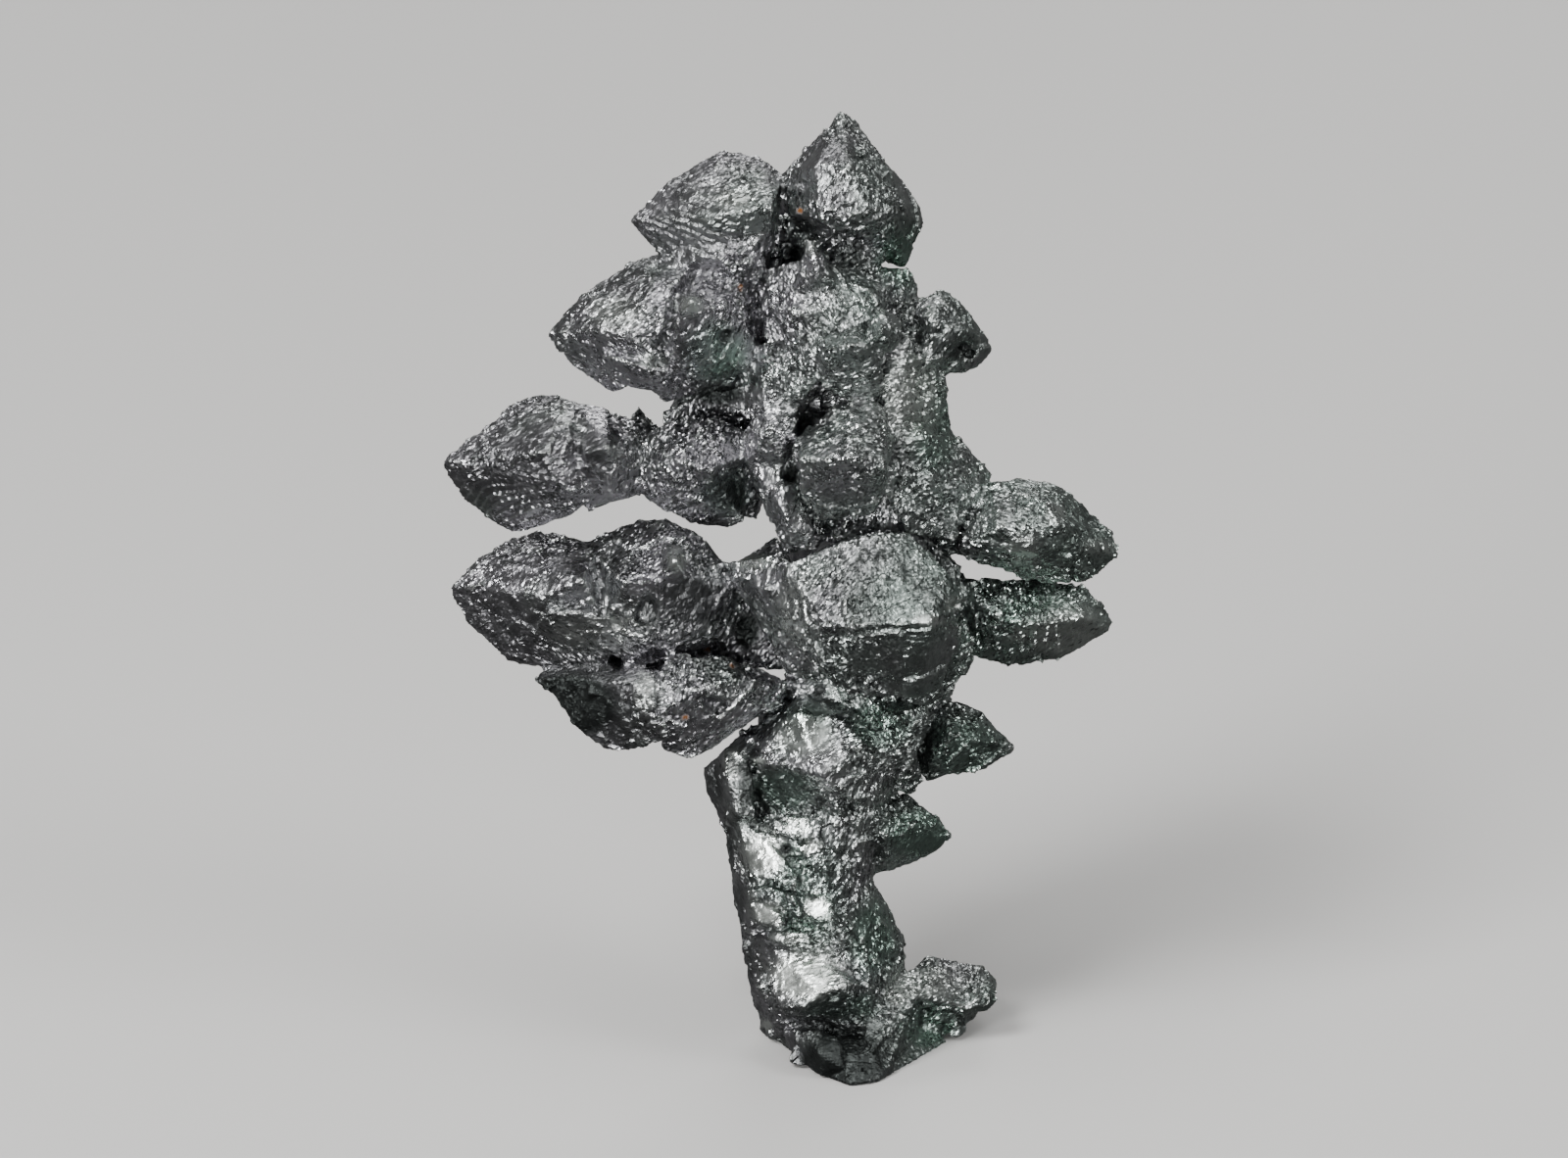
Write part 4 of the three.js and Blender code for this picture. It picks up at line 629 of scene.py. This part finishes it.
def leaning_mirrors(tree, drawn, share):
    """The way each small mirror faces: the face's own way, turned a little for each grain of two sizes."""
    facing = add(tree, "ShaderNodeNewGeometry").outputs["Normal"]
    for size, lean in ((SPARK_SIZE, SPARK_LEAN), (GLINT_SIZE, GLINT_LEAN)):
        grains = add(tree, "ShaderNodeTexVoronoi", {"Scale": 1 / size}, {"Vector": drawn}).outputs["Color"]
        middle = add(tree, "ShaderNodeVectorMath", {"operation": "SUBTRACT", 1: (0.5, 0.5, 0.5)},
                     {0: grains}).outputs[0]
        strength = add(tree, "ShaderNodeMath", {"operation": "MULTIPLY", 1: 2 * lean}, {0: share}).outputs[0]
        turned = add(tree, "ShaderNodeVectorMath", {"operation": "SCALE"},
                     {0: middle, "Scale": strength}).outputs[0]
        facing = add(tree, "ShaderNodeVectorMath", {"operation": "ADD"}, {0: facing, 1: turned}).outputs[0]
    return add(tree, "ShaderNodeVectorMath", {"operation": "NORMALIZE"}, {0: facing}).outputs[0]


def black_specks(tree, drawn, rough):
    """Below zero on some of the smallest grains, more of them where the growth is broken."""
    grains = add(tree, "ShaderNodeTexVoronoi", {"Scale": 1 / SPECK_SIZE}, {"Vector": drawn}).outputs["Color"]
    chance = add(tree, "ShaderNodeSeparateXYZ", {}, {"Vector": grains}).outputs["X"]
    return add(tree, "ShaderNodeMath", {"operation": "MULTIPLY_ADD", 1: -SPECK_SHARE},
               {0: rough, 2: chance}).outputs[0]


def tarnish(tree, mm):
    """Soft patches that are high where the tarnish is green and low where it is lilac."""
    patch = add(tree, "ShaderNodeTexNoise", {"Scale": 1 / TARNISH_PATCH, "Detail": TARNISH_DETAIL},
                {"Vector": mm}).outputs["Fac"]
    across = add(tree, "ShaderNodeSeparateXYZ", {}, {"Vector": mm}).outputs["X"]
    (left, lilac_lean), (right, green_lean) = TARNISH_LEFT, TARNISH_RIGHT
    lean = add(tree, "ShaderNodeMapRange",
               {"From Min": left, "From Max": right, "To Min": lilac_lean, "To Max": green_lean},
               {"Value": across}).outputs["Result"]
    return add(tree, "ShaderNodeMath", {"operation": "ADD"}, {0: patch, 1: lean}).outputs[0]


def layered(tree, layers):
    """Colours laid over steel grey in turn, each as strong as its strongest cause."""
    below, strengths = {}, {}
    for colour, causes in layers.items():
        strength = causes[0]
        for cause in causes[1:]:
            strength = add(tree, "ShaderNodeMath", {"operation": "MAXIMUM"},
                           {0: strength, 1: cause}).outputs[0]
        mix = add(tree, "ShaderNodeMix",
                  {"data_type": "RGBA", MIX_A: linear(STEEL_GREY), MIX_B: linear(colour)},
                  {"Factor": strength, **below})
        below = {MIX_A: mix.outputs[MIX_RESULT]}
        strengths[colour] = strength
    return below[MIX_A], strengths


def etched_acanthite():
    """The one material: small mirrors of grey metal, with painted shade in the clefts and a painted
    highlight on fresh faces.
    """
    material = bpy.data.materials.new("etched_acanthite")
    material.use_nodes = True
    tree = material.node_tree
    tree.nodes.clear()
    place = add(tree, "ShaderNodeTexCoord").outputs["Object"]
    mm = add(tree, "ShaderNodeVectorMath", {"operation": "SCALE", "Scale": 1 / MM}, {0: place}).outputs[0]
    drawn = add(tree, "ShaderNodeAttribute", {"attribute_name": "drawn"}).outputs["Vector"]
    marks = {}
    for name in MARKS:
        marks[name] = add(tree, "ShaderNodeAttribute", {"attribute_name": name}).outputs["Fac"]

    measures = {"tarnish": tarnish(tree, mm), "speck": black_specks(tree, drawn, marks["rough"]), **marks}
    shares = {}
    for name, (measure, start, full, most) in FINISHES.items():
        shares[name] = add(tree, "ShaderNodeMapRange", {"From Min": start, "From Max": full, "To Max": most},
                           {"Value": measures[measure]}).outputs["Result"]
    colour, strengths = layered(tree, {
        GREEN_TARNISH: [shares["green"], marks["green"]],
        LILAC_TARNISH: [shares["lilac"]],
        # painted highlight on fresh faces and on the edges that stand out
        PAINTED_HIGHLIGHT_GREY: [shares["painted_edge_highlight"], marks["fresh_and_highlight"]],
        # painted shade in clefts, hollows and shaded places, and the black pits
        PIT_AND_SHADE_GREY: [shares["painted_cleft_shade"], shares["hollow"], marks["painted_shade"], shares["speck"]],
        RUST_BROWN: [marks["rust"]],
    })

    # Clefts and specks are duller than the mirrors, and the rust is no metal
    patch = add(tree, "ShaderNodeTexNoise", {"Scale": 1 / ROUGHNESS_PATCH, "Detail": ROUGHNESS_DETAIL},
                {"Vector": mm}).outputs["Fac"]
    start, end = ROUGHNESS_BETWEEN
    gloss = add(tree, "ShaderNodeMapRange",
                {"From Min": start, "From Max": end, "To Min": SMOOTHEST, "To Max": ROUGHEST},
                {"Value": patch}).outputs["Result"]
    duller = add(tree, "ShaderNodeMath", {"operation": "MULTIPLY_ADD", 1: CLEFT_DULLNESS, "use_clamp": True},
                 {0: strengths[PIT_AND_SHADE_GREY], 2: gloss}).outputs[0]
    metal = add(tree, "ShaderNodeMath", {"operation": "SUBTRACT", 0: 1.0}, {1: marks["rust"]}).outputs[0]
    shader = add(tree, "ShaderNodeBsdfPrincipled", {},
                 {"Base Color": colour, "Roughness": duller, "Metallic": metal,
                  "Normal": leaning_mirrors(tree, drawn, marks["lean"])})
    add(tree, "ShaderNodeOutputMaterial", {}, {"Surface": shader.outputs["BSDF"]})
    return material


# The studio: a pale floor, six soft lights, and the room's own light. Sizes are in millimetres.
FLOOR_GREY = "#c4c3c1"
FLOOR_ROUGHNESS = 0.8
FLOOR_SIDE = 6000.0
# The room's own light, from straight below to straight above: heights from 0 to 1, and greys
ROOM = [(0.0, "#505050"), (0.3, "#7c7c7c"), (0.5, "#868686"), (0.7, "#848484"), (1.0, "#8c8c8c")]
ROOM_STRENGTH = 0.75
# Each light: its name, place, size, what it points at, and its power in watts
LIGHTS = [
    ("overhead", (-60.0, -120.0, 650.0), (600.0, 500.0), (0.0, 0.0, 25.0), 1.9),
    ("key", (-290.0, -340.0, 470.0), (220.0, 220.0), (0.0, 0.0, 20.0), 4.2),
    ("front", (60.0, -640.0, 70.0), (260.0, 160.0), (0.0, 0.0, 25.0), 2.0),
    ("front_left", (-330.0, -480.0, 110.0), (120.0, 200.0), (0.0, 0.0, 14.0), 2.6),
    ("right_fill", (460.0, -260.0, 330.0), (220.0, 220.0), (0.0, 0.0, 25.0), 1.6),
    ("back_rim", (100.0, 520.0, 380.0), (300.0, 160.0), (0.0, 0.0, 30.0), 1.2),
]


def point_at(thing, place, target):
    """Puts a camera or a light at a place and turns it to a target, both in millimetres."""
    thing.location = Vector(place) * MM
    way = (Vector(target) - Vector(place)).normalized()
    thing.rotation_euler = way.to_track_quat("-Z", "Y").to_euler()


def pale_floor():
    """A square of matt floor under the group; the metal reflects the room in its place."""
    half = FLOOR_SIDE / 2 * MM
    corners = [(-half, -half, 0), (half, -half, 0), (half, half, 0), (-half, half, 0)]
    mesh = bpy.data.meshes.new("floor")
    mesh.from_pydata(corners, [], [(0, 1, 2, 3)])
    floor = bpy.data.objects.new("floor", mesh)
    bpy.context.collection.objects.link(floor)
    floor.visible_glossy = False
    paint = bpy.data.materials.new("matt_floor")
    paint.use_nodes = True
    shader = paint.node_tree.nodes["Principled BSDF"]
    shader.inputs["Base Color"].default_value = linear(FLOOR_GREY)
    shader.inputs["Roughness"].default_value = FLOOR_ROUGHNESS
    mesh.materials.append(paint)


def soft_lights():
    """The lights, each a soft rectangle."""
    for name, place, size, target, power in LIGHTS:
        lamp = bpy.data.lights.new(name, "AREA")
        lamp.shape = "RECTANGLE"
        lamp.size, lamp.size_y = size[0] * MM, size[1] * MM
        lamp.energy = power
        light = bpy.data.objects.new(name, lamp)
        bpy.context.collection.objects.link(light)
        point_at(light, place, target)


def room_light():
    """The room's own light, darker below than above."""
    room = bpy.data.worlds.new("room")
    room.use_nodes = True
    tree = room.node_tree
    back = tree.nodes["Background"]
    back.inputs["Strength"].default_value = ROOM_STRENGTH
    way = add(tree, "ShaderNodeTexCoord").outputs["Generated"]
    height = add(tree, "ShaderNodeSeparateXYZ", {}, {"Vector": way}).outputs["Z"]
    share = add(tree, "ShaderNodeMapRange", {"From Min": -1.0}, {"Value": height}).outputs["Result"]
    ramp = add(tree, "ShaderNodeValToRGB", {}, {"Fac": share})
    for at, _ in ROOM[1:-1]:
        ramp.color_ramp.elements.new(at)
    for stop, (_, grey) in zip(ramp.color_ramp.elements, ROOM):
        stop.color = linear(grey)
    tree.links.new(ramp.outputs["Color"], back.inputs["Color"])
    bpy.context.scene.world = room


def camera():
    """The camera at the photograph's angle, far enough away to look almost without perspective."""
    lens = bpy.data.cameras.new("camera")
    lens.sensor_fit = "HORIZONTAL"
    lens.sensor_width = SENSOR_WIDTH
    lens.lens = SENSOR_WIDTH * CAMERA_DISTANCE / PICTURE_WIDTH
    lens.clip_start, lens.clip_end = (end * MM for end in CAMERA_CLIP)
    eye = bpy.data.objects.new("camera", lens)
    bpy.context.collection.objects.link(eye)
    tilt = math.radians(CAMERA_HEIGHT)
    back = (0.0, -math.cos(tilt) * CAMERA_DISTANCE, math.sin(tilt) * CAMERA_DISTANCE)
    point_at(eye, [a + b for a, b in zip(PICTURE_MIDDLE, back)], PICTURE_MIDDLE)
    bpy.context.scene.camera = eye


dress(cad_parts["acanthite"], etched_acanthite())
pale_floor()
soft_lights()
room_light()
camera()
